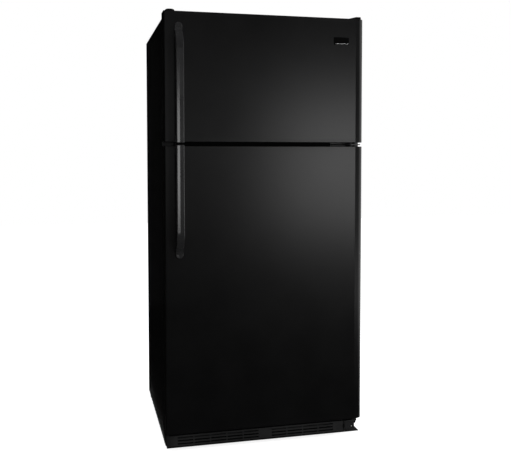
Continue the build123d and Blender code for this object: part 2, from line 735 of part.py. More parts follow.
def freezer_shelf():
    """A welded wire shelf: front-to-back wires on two cross wires."""
    front = EVAPORATOR_FRONT - LINER - FREEZER_SHELF_DEPTH
    back = EVAPORATOR_FRONT - LINER - CLEAR
    level = FREEZER_SHELF_LEVEL + WIRE
    across = (-SHELF_HALF, SHELF_HALF)
    shelf = bar_along_x(across, front + WIRE_INSET, level, WIRE)
    shelf = shelf + bar_along_x(across, back - WIRE_INSET, level, WIRE)
    step = 2 * (SHELF_HALF - LEDGE_REACH) / (WIRE_COUNT + 1)
    for number in range(WIRE_COUNT):
        x = -SHELF_HALF + LEDGE_REACH + (number + 1) * step
        shelf = shelf + bar_along_y(x, (front, back), level + 2 * WIRE - WIRE_WELD, WIRE)
    return shelf


def shelf_frame(level, depth):
    """A moulded rim with a rebate for its glass."""
    y = (Y_SHELF, Y_SHELF + depth)
    z = (level, level + SHELF_HEIGHT)
    rim = wide(SHELF_HALF, y, z)
    inner = (y[0] + SHELF_RIM, y[1] - SHELF_RIM)
    rim = rim - wide(SHELF_HALF - SHELF_RIM, inner, z)
    seat = (y[0] + SHELF_LEDGE, y[1] - SHELF_LEDGE)
    rim = rim - wide(SHELF_HALF - SHELF_LEDGE, seat, (z[1] - GLASS, z[1]))
    front_edges = rim.edges().filter_by(Axis.X).group_by(Axis.Y)[0]
    return fillet(front_edges, CAP_ROUND)


def shelf_glass(level, depth):
    """The pane that lies in a shelf frame's rebate."""
    inset = SHELF_LEDGE + SIDE_PLAY
    y = (Y_SHELF + inset, Y_SHELF + depth - inset)
    return wide(SHELF_HALF - inset, y, (level + SHELF_HEIGHT - GLASS, level + SHELF_HEIGHT))


def shelf_places():
    """Level and depth of each glass shelf and of the crisper cover."""
    shelves = [(level, SHELF_DEPTH) for level in SHELF_LEVELS]
    return shelves + [(CRISPER_COVER_LEVEL, CRISPER_COVER_DEPTH)]


def shelf_frames():
    return Compound(children=[shelf_frame(*place).solid() for place in shelf_places()])


def shelf_panes():
    return Compound(children=[shelf_glass(*place).solid() for place in shelf_places()])


def crisper(side):
    """An open drawer on the fridge floor, with a pull lip along its front."""
    inner_x = side * CRISPER_GAP / 2
    outer_x = side * (SHELF_HALF - LEDGE_REACH)
    x = (min(inner_x, outer_x), max(inner_x, outer_x))
    y = (Y_SHELF + CRISPER_PULL, HUMP_FRONT - LINER - CRISPER_GAP)
    z = (FRIDGE_FLOOR + LINER + CLEAR, CRISPER_COVER_LEVEL - CRISPER_HEADROOM)
    body = block(x, y, z)
    rounded = body.edges().filter_by(Axis.Y).group_by(Axis.Z)[0]
    rounded = rounded + body.edges().filter_by(Axis.X).group_by(Axis.Z)[0].sort_by(Axis.Y)[-1:]
    body = fillet(rounded, CRISPER_ROUND)
    hollow = block(
        (x[0] + PANEL, x[1] - PANEL),
        (y[0] + CRISPER_FRONT, y[1] - PANEL),
        (z[0] + PANEL, z[1]),
    )
    soft = hollow.edges().filter_by(Axis.Y).group_by(Axis.Z)[0]
    hollow = fillet(soft, CRISPER_ROUND - PANEL)
    lip = block(x, (Y_SHELF, y[0]), (z[1] - CRISPER_FRONT, z[1]))
    drop = block(x, (Y_SHELF, Y_SHELF + PANEL), (z[1] - CRISPER_PULL, z[1] - CRISPER_FRONT))
    return body - hollow + lip + drop


def control_housing():
    """The moulded box under the fridge ceiling, with knob bores and the lamp pocket."""
    y = (Y_HOUSING, Y_HOUSING + HOUSING_DEPTH)
    z = (CEILING - HOUSING_HEIGHT, CEILING)
    box = wide(HOUSING_HALF, y, z)
    low_edges = box.edges().group_by(Axis.Z)[0]
    box = fillet(low_edges, HOUSING_ROUND)
    pocket = (y[0] + LAMP_POCKET_START, y[0] + LAMP_POCKET_START + LAMP_POCKET_DEPTH)
    box = box - wide(LAMP_POCKET_HALF, pocket, (z[0], z[1] - LINER))
    for side in (-1, 1):
        bore = (y[0], y[0] + KNOB_STEM_LENGTH + CLEAR)
        box = box - bar_along_y(side * KNOB_X, bore, KNOB_Z, KNOB_STEM + RUNNING)
    return box


def temperature_knob(side):
    """A ribbed knob with a stem in the housing's bore."""
    x = side * KNOB_X
    back = Y_HOUSING - CLEAR
    disc = bar_along_y(x, (back - KNOB_HEIGHT / 2, back), KNOB_Z, KNOB_RADIUS)
    grip = block(
        (x - KNOB_RIB / 2, x + KNOB_RIB / 2),
        (back - KNOB_HEIGHT, back - KNOB_HEIGHT / 2),
        (KNOB_Z - KNOB_RADIUS + KNOB_RIB, KNOB_Z + KNOB_RADIUS - KNOB_RIB),
    )
    return disc + grip + bar_along_y(x, (back, back + KNOB_STEM_LENGTH), KNOB_Z, KNOB_STEM)


def lamp():
    """A small bulb that lies in the pocket, screwed into its front wall."""
    start = Y_HOUSING + LAMP_POCKET_START
    z = CEILING - HOUSING_HEIGHT / 2
    base = bar_along_y(0, (start, start + LAMP_BASE_LENGTH), z, LAMP_BASE)
    return base + Pos(0, start + LAMP_BASE_LENGTH + LAMP_BULB / 2, z) * Sphere(LAMP_BULB)


def light_switch():
    """The switch body under the ceiling, bored for its plunger."""
    x = (SWITCH_X - SWITCH_HALF, SWITCH_X + SWITCH_HALF)
    body = block(x, (Y_SWITCH, Y_SWITCH + SWITCH_DEPTH), (SWITCH_Z - SWITCH_HALF, CEILING))
    body = fillet(body.edges().filter_by(Axis.Y).group_by(Axis.Z)[0], CAP_ROUND)
    tip = DIKE_BACK + CLEAR
    bore = (Y_SWITCH, tip + PLUNGER_LENGTH + CLEAR)
    return body - bar_along_y(SWITCH_X, bore, SWITCH_Z, PLUNGER + RUNNING)


def light_switch_plunger():
    """The plunger, held in by the closed door's dike."""
    tip = DIKE_BACK + CLEAR
    rod = bar_along_y(SWITCH_X, (tip, tip + PLUNGER_LENGTH), SWITCH_Z, PLUNGER)
    return fillet(rod.edges().filter_by(GeomType.CIRCLE).group_by(Axis.Y)[0], PLUNGER / 2)


def condenser_fan_motor():
    """A shroud plate on the deck, with a motor on spokes behind its mouth."""
    x = (COOLING_FAN_X, COOLING_FAN_X + SHROUD)
    y = (COMPRESSOR_Y - SHROUD_HALF, COMPRESSOR_Y + SHROUD_HALF)
    plate = block(x, y, (DECK_TOP, COOLING_FAN_Z + SHROUD_HALF))
    mouth = COOLING_FAN_RADIUS + FAN_RING_GAP
    plate = plate - bar_along_x(x, COMPRESSOR_Y, COOLING_FAN_Z, mouth)
    for turn in range(2):
        spoke = Rot(turn * 90, 0, 0) * Box(SHROUD, 2 * mouth, RETURN_SLOT_HEIGHT)
        plate = plate + Pos(COOLING_FAN_X + SHROUD / 2, COMPRESSOR_Y, COOLING_FAN_Z) * spoke
    can = bar_along_x((x[1], x[1] + MOTOR_LENGTH), COMPRESSOR_Y, COOLING_FAN_Z, MOTOR_RADIUS)
    reach = (x[0] - CLEAR - FAN_DEPTH, x[0])
    return plate + can + bar_along_x(reach, COMPRESSOR_Y, COOLING_FAN_Z, FAN_SHAFT)


def condenser_fan():
    wheel = fan(COOLING_FAN_RADIUS, FAN_HUB, FAN_DEPTH, FAN_SHAFT)
    x = COOLING_FAN_X - CLEAR - FAN_DEPTH / 2
    return Pos(x, COMPRESSOR_Y, COOLING_FAN_Z) * Rot(0, 90, 0) * wheel


def hinge_hole(x, y, z, radius):
    return post(x, y, z, radius + RUNNING)


def top_hinge():
    """A cranked bracket from the cabinet top, over the door, to the pin."""
    back = Y_CABINET + TOP_BASE_START
    base = block(
        (X_PIVOT - TOP_BASE_LEFT, X_PIVOT + TOP_RIGHT),
        (back, back + TOP_BASE_LENGTH),
        (CABINET_TOP, CABINET_TOP + HINGE_SHEET),
    )
    across = (X_PIVOT - LEAF_LEFT, X_PIVOT + TOP_RIGHT)
    height = (CABINET_TOP, TOP_LEAF + HINGE_SHEET)
    riser = block(across, (back, back + HINGE_SHEET), height)
    leaf = block(across, (Y_PIVOT - LEAF_FRONT, back + HINGE_SHEET), (TOP_LEAF, height[1]))
    nose = leaf.edges().filter_by(Axis.Z).group_by(Axis.Y)[0]
    leaf = fillet(nose, min(LEAF_FRONT, LEAF_LEFT, TOP_RIGHT))
    bracket = base + riser + leaf - hinge_hole(X_PIVOT, Y_PIVOT, (TOP_LEAF, height[1]), PIN)
    for x, y in top_screw_places():
        bracket = bracket - hinge_hole(x, y, (CABINET_TOP, CABINET_TOP + HINGE_SHEET), SCREW)
    return bracket


def top_screw_places():
    """Three screws through the top hinge's base."""
    near = Y_CABINET + TOP_BASE_START + TOP_BASE_LENGTH / 3
    far = Y_CABINET + TOP_BASE_START + TOP_BASE_LENGTH - 3 * SCREW_HEAD / 2
    left = X_PIVOT - TOP_BASE_LEFT + 2 * SCREW_HEAD
    right = X_PIVOT + TOP_RIGHT - 2 * SCREW_HEAD
    return [(left, near), (right, near), ((left + right) / 2, far)]


def cover_body(inset):
    """The hinge cover's outside or inside: its plan, front view and side view together."""
    left = X_PIVOT - COVER_LEFT + inset
    right = X_PIVOT + COVER_RIGHT - inset
    front = Y_PIVOT - COVER_FRONT + inset
    back = Y_CABINET + COVER_LENGTH - inset
    top = CABINET_TOP + COVER_HEIGHT - inset
    lip = FREEZER_DOOR_TOP + COVER_CLEAR
    shoulder = top - COVER_SLOPE_DROP
    plan = RectangleRounded(right - left, back - front, 2 * COVER_ROUND - inset)
    plan = Pos((left + right) / 2, (front + back) / 2, CABINET_TOP) * extrude(plan, top - CABINET_TOP)
    crest = make_face(
        Polyline(
            (left, CABINET_TOP),
            (right, CABINET_TOP),
            (right, top),
            (left + COVER_SLOPE_RUN, top),
            (left, shoulder),
            close=True,
        )
    )
    crest = fillet(crest.vertices().filter_by(lambda v: v.Y >= shoulder), COVER_ROUND - inset)
    across = Pos(0, back, 0) * extrude(Plane.XZ * crest, back - front)
    flank = make_face(
        Polyline(
            (front, lip),
            (front, top),
            (back, top),
            (back, CABINET_TOP),
            (Y_CABINET + inset, CABINET_TOP),
            (Y_CABINET + inset, lip),
            close=True,
        )
    )
    flank = fillet(flank.vertices().group_by(Axis.Y)[-1], COVER_ROUND - inset)
    along = Pos(left, 0, 0) * extrude(Plane.YZ * flank, right - left)
    return plan & across & along


def top_hinge_cover():
    return cover_body(0) - cover_body(COVER_WALL)


def centre_hinge():
    """A wide leaf in the door gap, on a flange that is screwed to the mullion."""
    right = X_PIVOT + LEAF_RIGHT
    front = Y_PIVOT - LEAF_FRONT
    knee = Y_CABINET - GASKET_GAP
    outline = [
        (X_PIVOT - CENTRE_LEFT, Y_CABINET),
        (X_PIVOT - CENTRE_LEFT, knee),
        (X_PIVOT - CENTRE_NOSE, front),
        (right, front),
        (right, Y_CABINET),
    ]
    leaf = extrude(make_face(Polyline(*outline, close=True)), CENTRE_LEAF)
    leaf = Pos(0, 0, CENTRE_LEAF_BOTTOM) * leaf
    flange = block(
        (X_PIVOT - CENTRE_LEFT, right),
        (Y_CABINET - HINGE_SHEET, Y_CABINET),
        (GAP_MIDDLE - CENTRE_FLANGE / 2, GAP_MIDDLE + CENTRE_FLANGE / 2),
    )
    bracket = leaf + flange - hinge_hole(X_PIVOT, Y_PIVOT, (CENTRE_LEAF_BOTTOM, CENTRE_LEAF_TOP), PIN)
    for x, z in centre_screw_places():
        bracket = bracket - bar_along_y(x, (Y_CABINET - HINGE_SHEET, Y_CABINET), z, SCREW + RUNNING)
    return bracket


def centre_screw_places():
    """Two screws above the centre leaf and two below it."""
    reach = (CENTRE_FLANGE / 2 + CENTRE_LEAF / 2) / 2
    near = X_PIVOT - CENTRE_NOSE - 2 * SCREW_HEAD
    far = X_PIVOT - CENTRE_LEFT + 2 * SCREW_HEAD
    return [(x, GAP_MIDDLE + sign * reach) for x in (far, near) for sign in (-1, 1)]


def bottom_hinge():
    """The bracket under the fridge door: leaf, folded front plate and rear flange."""
    left = X_PIVOT - BOTTOM_LEFT
    right = X_PIVOT + BOTTOM_RIGHT
    front = Y_PIVOT - LEAF_FRONT
    leaf = block((left, right), (front, Y_CABINET), (BOTTOM_LEAF_TOP - CENTRE_LEAF, BOTTOM_LEAF_TOP))
    plate = block(
        (left, left + BOTTOM_PLATE_WIDTH),
        (front, front + HINGE_SHEET),
        (BOTTOM_PLATE_FOOT, BOTTOM_LEAF_TOP),
    )
    flange = block(
        (left, right),
        (Y_CABINET - HINGE_SHEET, Y_CABINET),
        (FLOOR_CLEARANCE, BOTTOM_LEAF_TOP),
    )
    bracket = leaf + plate + flange
    fold = bracket.edges().filter_by(Axis.X).group_by(Axis.Y)[0].sort_by(Axis.Z)[-1:]
    bracket = fillet(fold, HINGE_SHEET)
    sight = (front, front + HINGE_SHEET)
    bracket = bracket - bar_along_y(X_PIVOT - BOTTOM_HOLE_X, sight, BOTTOM_HOLE_Z, BOTTOM_HOLE)
    bracket = bracket - hinge_hole(X_PIVOT, Y_PIVOT, (BOTTOM_LEAF_TOP - CENTRE_LEAF, BOTTOM_LEAF_TOP), PIN)
    for x, z in bottom_screw_places():
        bracket = bracket - bar_along_y(x, (Y_CABINET - HINGE_SHEET, Y_CABINET), z, SCREW + RUNNING)
    return bracket


def bottom_screw_places():
    """Two screws through the bottom hinge's rear flange."""
    z = (FLOOR_CLEARANCE + BOTTOM_LEAF_TOP - CENTRE_LEAF) / 2
    left = X_PIVOT - BOTTOM_LEFT + 2 * SCREW_HEAD
    return [(left, z), (X_PIVOT, z)]


def hinge_pins():
    """The top, centre and bottom pins, each set in its bracket."""
    top = post(X_PIVOT, Y_PIVOT, (FREEZER_DOOR_TOP - PIN_REACH, TOP_LEAF + HINGE_SHEET), PIN)
    centre = post(X_PIVOT, Y_PIVOT, (FRIDGE_DOOR_TOP - PIN_REACH, FREEZER_DOOR_BOTTOM + PIN_REACH), PIN)
    bottom = post(X_PIVOT, Y_PIVOT, (BOTTOM_LEAF_TOP - CENTRE_LEAF, DOOR_BOTTOM + PIN_REACH), PIN)
    return Compound(children=[pin.solid() for pin in (top, centre, bottom)])


def hinge_screw():
    """A hexagon-headed screw along +Z, head down on the plane of z 0."""
    head = extrude(RegularPolygon(SCREW_HEAD, 6), SCREW_HEAD_HEIGHT)
    return head + Pos(0, 0, -HINGE_SHEET / 2) * Cylinder(SCREW, HINGE_SHEET)


def hinge_screws():
    """The screws of the three hinges, standing on their brackets."""
    screws = []
    for x, y in top_screw_places():
        screws.append(Pos(x, y, CABINET_TOP + HINGE_SHEET) * hinge_screw())
    for x, z in centre_screw_places() + bottom_screw_places():
        screws.append(Pos(x, Y_CABINET - HINGE_SHEET, z) * Rot(90, 0, 0) * hinge_screw())
    return Compound(children=[screw.solid() for screw in screws])


def door_outline():
    """Plan of a door: flat front, small left edge, bevelled and rolled right edge, square back."""
    crease = (HALF - EDGE_WIDTH, Y_DOOR)
    slope = (cos(radians(DOOR_BEVEL_ANGLE)), sin(radians(DOOR_BEVEL_ANGLE)))
    turn = (crease[0] + DOOR_BEVEL, Y_DOOR + DOOR_BEVEL * slope[1] / slope[0])
    roll = (EDGE_WIDTH - DOOR_BEVEL) / (1 - slope[1])
    corner = Y_DOOR + DOOR_LEFT_EDGE
    rolled = TangentArc(turn, (HALF, turn[1] + roll * slope[0]), tangent=slope)
    edges = [
        Line((HALF, Y_DOOR_BACK), (-HALF, Y_DOOR_BACK)),
        Line((-HALF, Y_DOOR_BACK), (-HALF, corner)),
        TangentArc((-HALF, corner), (-HALF + DOOR_LEFT_EDGE, Y_DOOR), tangent=(0, -1)),
        Line((-HALF + DOOR_LEFT_EDGE, Y_DOOR), crease),
        Line(crease, turn),
        rolled,
        Line(rolled @ 1, (HALF, Y_DOOR_BACK)),
    ]
    return make_face(Curve() + edges)


def door_slab(inset, low, high):
    outline = door_outline()
    if inset:
        outline = offset(outline, amount=-inset, kind=Kind.INTERSECTION)
    return Pos(0, 0, low) * extrude(outline, high - low)


def seal_limits(floor, ceiling, reach):
    """Half width, bottom and top of a rectangle that stands out from a liner's mouth."""
    return (CAVITY + reach, floor - reach, ceiling + reach)


def plate_limits(floor, ceiling):
    return seal_limits(floor, ceiling, -GASKET_LAP)


def door_window(floor, ceiling):
    """The opening in a door skin's back, a little smaller than the liner that closes it."""
    half, low, high = plate_limits(floor, ceiling)
    window = (low + FLANGE_LAP, high - FLANGE_LAP)
    return wide(half - FLANGE_LAP, (Y_DOOR_BACK - STEEL, Y_DOOR_BACK), window)


def door_skin(low, high, floor, ceiling):
    """The rolled steel pan: front, both edges and the flange round its open back."""
    skin = door_slab(0, low + CAP, high - CAP) - door_slab(STEEL, low + CAP, high - CAP)
    return skin - door_window(floor, ceiling)


def bush_places(low, high):
    """Heights of the lower and upper bush pockets in a door."""
    reach = PIN_REACH + BUSH_FLOOR + CLEAR
    return [(low, low + reach), (high - reach, high)]


def door_foam(low, high, floor, ceiling):
    foam = door_slab(STEEL, low + CAP, high - CAP) + door_window(floor, ceiling)
    for pocket in bush_places(low, high):
        foam = foam - post(X_PIVOT, Y_PIVOT, pocket, BUSH + RUNNING)
    return foam


def door_caps(low, high, spare_hole):
    """The moulded bottom and top ends of a door, bored for the hinge bushes."""
    caps = []
    for start, outer in ((low, 0), (high - CAP, -1)):
        cap = door_slab(0, start, start + CAP)
        cap = fillet(cap.faces().sort_by(Axis.Z)[outer].edges(), DOOR_CAP_ROUND)
        cap = cap - post(X_PIVOT, Y_PIVOT, (start, start + CAP), BUSH + RUNNING)
        if spare_hole and outer == -1:
            cap = cap - post(-X_PIVOT, Y_PIVOT, (start, start + CAP), BUSH + RUNNING)
        caps.append(cap)
    return Compound(children=[cap.solid() for cap in caps])


def bush(face, away, flange):
    """A blind sleeve with a flange that stands off a door's end by the given height."""
    reach = PIN_REACH + BUSH_FLOOR + CLEAR
    inner = face - away * reach
    outer = face + away * flange
    sleeve = post(X_PIVOT, Y_PIVOT, sorted((inner, face)), BUSH)
    rim = post(X_PIVOT, Y_PIVOT, sorted((face, outer)), BUSH_FLANGE)
    bore = post(X_PIVOT, Y_PIVOT, sorted((face - away * (PIN_REACH + CLEAR), outer)), PIN + RUNNING)
    return sleeve + rim - bore


def freezer_bushes():
    lower = bush(FREEZER_DOOR_BOTTOM, -1, FREEZER_DOOR_BOTTOM - CENTRE_LEAF_TOP - CLEAR)
    upper = bush(FREEZER_DOOR_TOP, 1, LEAF_LIFT - CLEAR)
    return Compound(children=[lower.solid(), upper.solid()])


def fridge_bushes():
    lower = bush(DOOR_BOTTOM, -1, BOTTOM_DROP - CLEAR)
    upper = bush(FRIDGE_DOOR_TOP, 1, CENTRE_LEAF_BOTTOM - FRIDGE_DOOR_TOP - CLEAR)
    return Compound(children=[lower.solid(), upper.solid()])


def hinge_hole_plug():
    """The domed plug in the unused hinge hole on the freezer door's top."""
    stem = post(-X_PIVOT, Y_PIVOT, (FREEZER_DOOR_TOP - CAP, FREEZER_DOOR_TOP), BUSH)
    dome = post(-X_PIVOT, Y_PIVOT, (FREEZER_DOOR_TOP, FREEZER_DOOR_TOP + PLUG_RISE), PLUG_RADIUS)
    return stem + fillet(dome.edges().group_by(Axis.Z)[-1], PLUG_ROUND)


def door_liner(floor, ceiling):
    """The inner panel that closes a door's back."""
    half, low, high = plate_limits(floor, ceiling)
    return wide(half, (Y_DOOR_BACK, PLATE_BACK), (low, high))


def door_rim(floor, ceiling):
    """The raised rim on the inner panel: two rails that hold the bins and two end bars."""
    bottom = floor + LINER + DIKE_GAP
    top = ceiling - LINER - DIKE_GAP
    middle = (bottom + top) / 2
    face = Plane.XZ * Pos(0, middle) * Rectangle(2 * DIKE_HALF, top - bottom)
    mound = Pos(0, PLATE_BACK, 0) * extrude(face, amount=-DIKE_DEPTH, taper=DIKE_DRAFT)
    depth = (PLATE_BACK, DIKE_BACK)
    places = [
        block((-DIKE_HALF, -BIN_HALF), depth, (bottom, top)),
        block((BIN_HALF, DIKE_HALF), depth, (bottom, top)),
        wide(BIN_HALF, depth, (bottom, bottom + DIKE_WIDTH)),
        wide(BIN_HALF, depth, (top - DIKE_WIDTH, top)),
    ]
    return Compound(children=[(mound & place).solid() for place in places])


def gasket(floor, ceiling):
    """A magnetic seal: base, narrow neck and bulb, which stops just short of the cabinet."""
    tip = Y_CABINET - CLEAR
    waist = (tip - Y_DOOR_BACK) / 3
    layers = [
        (Y_DOOR_BACK, Y_DOOR_BACK + waist, 0),
        (Y_DOOR_BACK + waist, tip - waist, GASKET_NECK),
        (tip - waist, tip, 0),
    ]
    seal = None
    for front, back, pinch in layers:
        outer = seal_limits(floor, ceiling, GASKET_WIDTH - GASKET_LAP - pinch)
        inner = seal_limits(floor, ceiling, pinch - GASKET_LAP)
        layer = Pos(0, front, 0) * extrude(Plane.XZ * ring(outer, inner), amount=front - back)
        seal = layer if seal is None else seal + layer
    return seal


def ridge_reach():
    """Stand-off of the bar's sharp ridge that leaves the rounded one at the handle's reach."""
    lean = atan2(HANDLE_DIP, HANDLE_RIDGE)
    return HANDLE_REACH + HANDLE_ROUND * (tan(lean) + 1 / cos(lean) - 1)


def handle_outline(length):
    """Side view of a handle as (stand-off, distance from the gap): foot, bar and sinking tail."""
    reach = ridge_reach()
    drop = reach - HANDLE_TAIL
    start = length - HANDLE_SWEEP - HANDLE_WIDTH / 2
    outer_end = (HANDLE_TAIL, start + HANDLE_SWEEP)
    inner = HANDLE_REACH - HANDLE_BAR
    inner_start = (inner, start - HANDLE_BAR / 2)
    inner_end = (0, inner_start[1] + HANDLE_SWEEP * inner / drop)
    edges = [
        Line((0, 0), (reach, 0)),
        Line((reach, 0), (reach, start)),
        *double_bend((reach, start), outer_end),
        Line(outer_end, (HANDLE_TAIL, length)),
        Line((HANDLE_TAIL, length), (0, length)),
        Line((0, length), inner_end),
        *double_bend(inner_start, inner_end),
        Line(inner_start, (inner, HANDLE_FOOT)),
        Line((inner, HANDLE_FOOT), (0, HANDLE_FOOT)),
        Line((0, HANDLE_FOOT), (0, 0)),
    ]
    return make_face(Curve() + edges)


def double_bend(start, end):
    """A long arc and a short counter arc that leave and reach the ends along the handle."""
    turn = (
        start[0] + HANDLE_TURN * (end[0] - start[0]),
        start[1] + HANDLE_TURN * (end[1] - start[1]),
    )
    return [
        TangentArc(start, turn, tangent=(0, 1)),
        TangentArc(end, turn, tangent=(0, -1)),
    ]


def handle_bar(outline):
    """The bar's full depth along one edge, from which its face slopes to a flat one."""
    half = HANDLE_WIDTH / 2
    slope = Vector(-HANDLE_DIP, 0, -HANDLE_RIDGE)
    ridge = extrude(Pos(0, 0, half) * outline, amount=slope.length, dir=slope)
    flat = extrude(
        Pos(-HANDLE_DIP, 0, half - HANDLE_RIDGE) * outline,
        amount=HANDLE_WIDTH - HANDLE_RIDGE,
        dir=(0, 0, -1),
    )
    return extrude(outline, half, both=True) & (ridge + flat)


def handle(gap_end, up, length):
    """A handle that starts at the door gap and runs up or down the door."""
    profile = handle_bar(handle_outline(length))
    front = Pos(0, length / 2) * Rectangle(HANDLE_WIDTH, length)
    front = fillet(front.vertices().group_by(Axis.Y)[-1], HANDLE_WIDTH / 2 - CLEAR)
    upright = Plane(origin=(0, 0, 0), x_dir=(0, 0, -1), z_dir=(1, 0, 0))
    mask = extrude(upright * front, ridge_reach())
    body = profile & mask
    outer = body.faces().filter_by(lambda f: f.normal_at().X > HANDLE_FACING)
    rim = [edge for edge in body.edges() if sum(edge in face.edges() for face in outer) == 1]
    rim = [edge for edge in rim if edge.center().X > HANDLE_TAIL / 2]
    body = fillet(rim, HANDLE_ROUND)
    if up < 0:
        body = mirror(body, Plane.XY)
    turned = Plane(origin=(HANDLE_X, Y_DOOR, gap_end), x_dir=(0, -1, 0), z_dir=(-up, 0, 0))
    return turned * body


def door_bin(level):
    """A moulded bin between the rim's walls, with a sloped front."""
    y = PLATE_BACK
    top = level + BIN_HEIGHT
    outer = side_profile(
        [(y, level), (y + BIN_DEPTH - BIN_SLOPE, level), (y + BIN_DEPTH, top), (y, top)], BIN_HALF
    )
    outer = fillet(outer.edges().filter_by(Axis.X).group_by(Axis.Z)[0].sort_by(Axis.Y)[-1:], BIN_ROUND)
    floor = level + PANEL
    slope = BIN_DEPTH - PANEL
    inner = side_profile(
        [(y + PANEL, floor), (y + slope - BIN_SLOPE, floor), (y + slope, top), (y + PANEL, top)],
        BIN_HALF - PANEL,
    )
    inner_edge = inner.edges().filter_by(Axis.X).group_by(Axis.Z)[0].sort_by(Axis.Y)[-1:]
    return outer - fillet(inner_edge, BIN_ROUND - PANEL)


def bins(levels):
    return Compound(children=[door_bin(level).solid() for level in levels])


def dairy_rack():
    """A box on the door, open to the room, with ears that hold its flap."""
    half = DAIRY_WIDTH / 2
    x = (X_DAIRY - half, X_DAIRY + half)
    y = (PLATE_BACK, PLATE_BACK + DAIRY_DEPTH)
    box = block(x, y, (DAIRY_LEVEL, DAIRY_TOP))
    hollow = block(
        (x[0] + PANEL, x[1] - PANEL),
        (y[0] + PANEL, y[1]),
        (DAIRY_LEVEL + PANEL, DAIRY_TOP - PANEL),
    )
    rack = box - hollow
    reach = (y[1], Y_KNUCKLE + DAIRY_KNUCKLE)
    height = (DAIRY_TOP - 2 * DAIRY_EAR, DAIRY_TOP)
    for ear in ((x[0], x[0] + PANEL), (x[1] - PANEL, x[1])):
        rack = rack + block(ear, reach, height)
    return rack - bar_along_x(x, Y_KNUCKLE, Z_KNUCKLE, DAIRY_PIN + RUNNING)


def dairy_door():
    """The flap: a knuckle with end pins and a panel that hangs from it."""
    half = DAIRY_WIDTH / 2 - PANEL - SIDE_PLAY
    x = (X_DAIRY - half, X_DAIRY + half)
    pins = (X_DAIRY - DAIRY_WIDTH / 2, X_DAIRY + DAIRY_WIDTH / 2)
    panel = block(
        x,
        (Y_KNUCKLE + DAIRY_KNUCKLE - PANEL, Y_KNUCKLE + DAIRY_KNUCKLE),
        (DAIRY_LEVEL, Z_KNUCKLE),
    )
    flap = panel + bar_along_x(x, Y_KNUCKLE, Z_KNUCKLE, DAIRY_KNUCKLE)
    return flap + bar_along_x(pins, Y_KNUCKLE, Z_KNUCKLE, DAIRY_PIN)


FREEZER_DOOR = (FREEZER_DOOR_BOTTOM, FREEZER_DOOR_TOP)
FRIDGE_DOOR = (DOOR_BOTTOM, FRIDGE_DOOR_TOP)
FREEZER_MOUTH = (FREEZER_FLOOR, FREEZER_CEILING)
FRIDGE_MOUTH = (FRIDGE_FLOOR, FRIDGE_CEILING)


def build_nodes():
    """Every piece of the appliance by its name."""
    return {
        "cabinet_shell": cabinet_shell(),
        "back_panel": back_panel(),
        "cabinet_foam": cabinet_foam(),
        "freezer_liner": freezer_liner(),
        "fridge_liner": fridge_liner(),
        "mullion_rail": mullion_rail(),
        "base_frame": base_frame(),
        "levelling_legs": levelling_legs(),
        "left_roller": roller(-1),
        "right_roller": roller(1),
        "toe_grille": toe_grille(),
        "machine_cover": machine_cover(),
        "compressor": compressor(),
        "condenser_coil": condenser_coil(),
        "condenser_fan_motor": condenser_fan_motor(),
        "condenser_fan": condenser_fan(),
        "drain_pan": drain_pan(),
        "evaporator_coil": evaporator_coil(),
        "evaporator_cover": evaporator_cover(),
        "evaporator_fan_motor": evaporator_fan_motor(),
        "evaporator_fan": evaporator_fan(),
        "freezer_shelf": freezer_shelf(),
        "shelf_frames": shelf_frames(),
        "shelf_glass": shelf_panes(),
        "left_crisper": crisper(-1),
        "right_crisper": crisper(1),
        "control_housing": control_housing(),
        "freezer_knob": temperature_knob(-1),
        "fridge_knob": temperature_knob(1),
        "lamp": lamp(),
        "light_switch": light_switch(),
        "light_switch_plunger": light_switch_plunger(),
        "top_hinge": top_hinge(),
        "top_hinge_cover": top_hinge_cover(),
        "centre_hinge": centre_hinge(),
        "bottom_hinge": bottom_hinge(),
        "hinge_pins": hinge_pins(),
        "hinge_screws": hinge_screws(),
        "freezer_door_skin": door_skin(*FREEZER_DOOR, *FREEZER_MOUTH),
        "freezer_door_foam": door_foam(*FREEZER_DOOR, *FREEZER_MOUTH),
        "freezer_door_caps": door_caps(*FREEZER_DOOR, True),
        "freezer_door_liner": door_liner(*FREEZER_MOUTH),
        "freezer_door_rim": door_rim(*FREEZER_MOUTH),
        "freezer_gasket": gasket(*FREEZER_MOUTH),
        "freezer_handle": handle(FREEZER_DOOR_BOTTOM - HANDLE_OVERHANG, 1, FREEZER_HANDLE_LENGTH),
        "freezer_door_bins": bins(FREEZER_BIN_LEVELS),
        "freezer_door_bushes": freezer_bushes(),
        "hinge_hole_plug": hinge_hole_plug(),
        "fridge_door_skin": door_skin(*FRIDGE_DOOR, *FRIDGE_MOUTH),
        "fridge_door_foam": door_foam(*FRIDGE_DOOR, *FRIDGE_MOUTH),
        "fridge_door_caps": door_caps(*FRIDGE_DOOR, False),
        "fridge_door_liner": door_liner(*FRIDGE_MOUTH),
        "fridge_door_rim": door_rim(*FRIDGE_MOUTH),
        "fridge_gasket": gasket(*FRIDGE_MOUTH),
        "fridge_handle": handle(FRIDGE_DOOR_TOP + HANDLE_OVERHANG, -1, FRIDGE_HANDLE_LENGTH),
        "fridge_door_bins": bins(FRIDGE_BIN_LEVELS),
        "fridge_door_bushes": fridge_bushes(),
        "dairy_rack": dairy_rack(),
        "dairy_door": dairy_door(),
    }


os.makedirs("parts", exist_ok=True)
for name, piece in build_nodes().items():
    export_step(piece, os.path.join("parts", name + ".step"))
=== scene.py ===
import json
import math

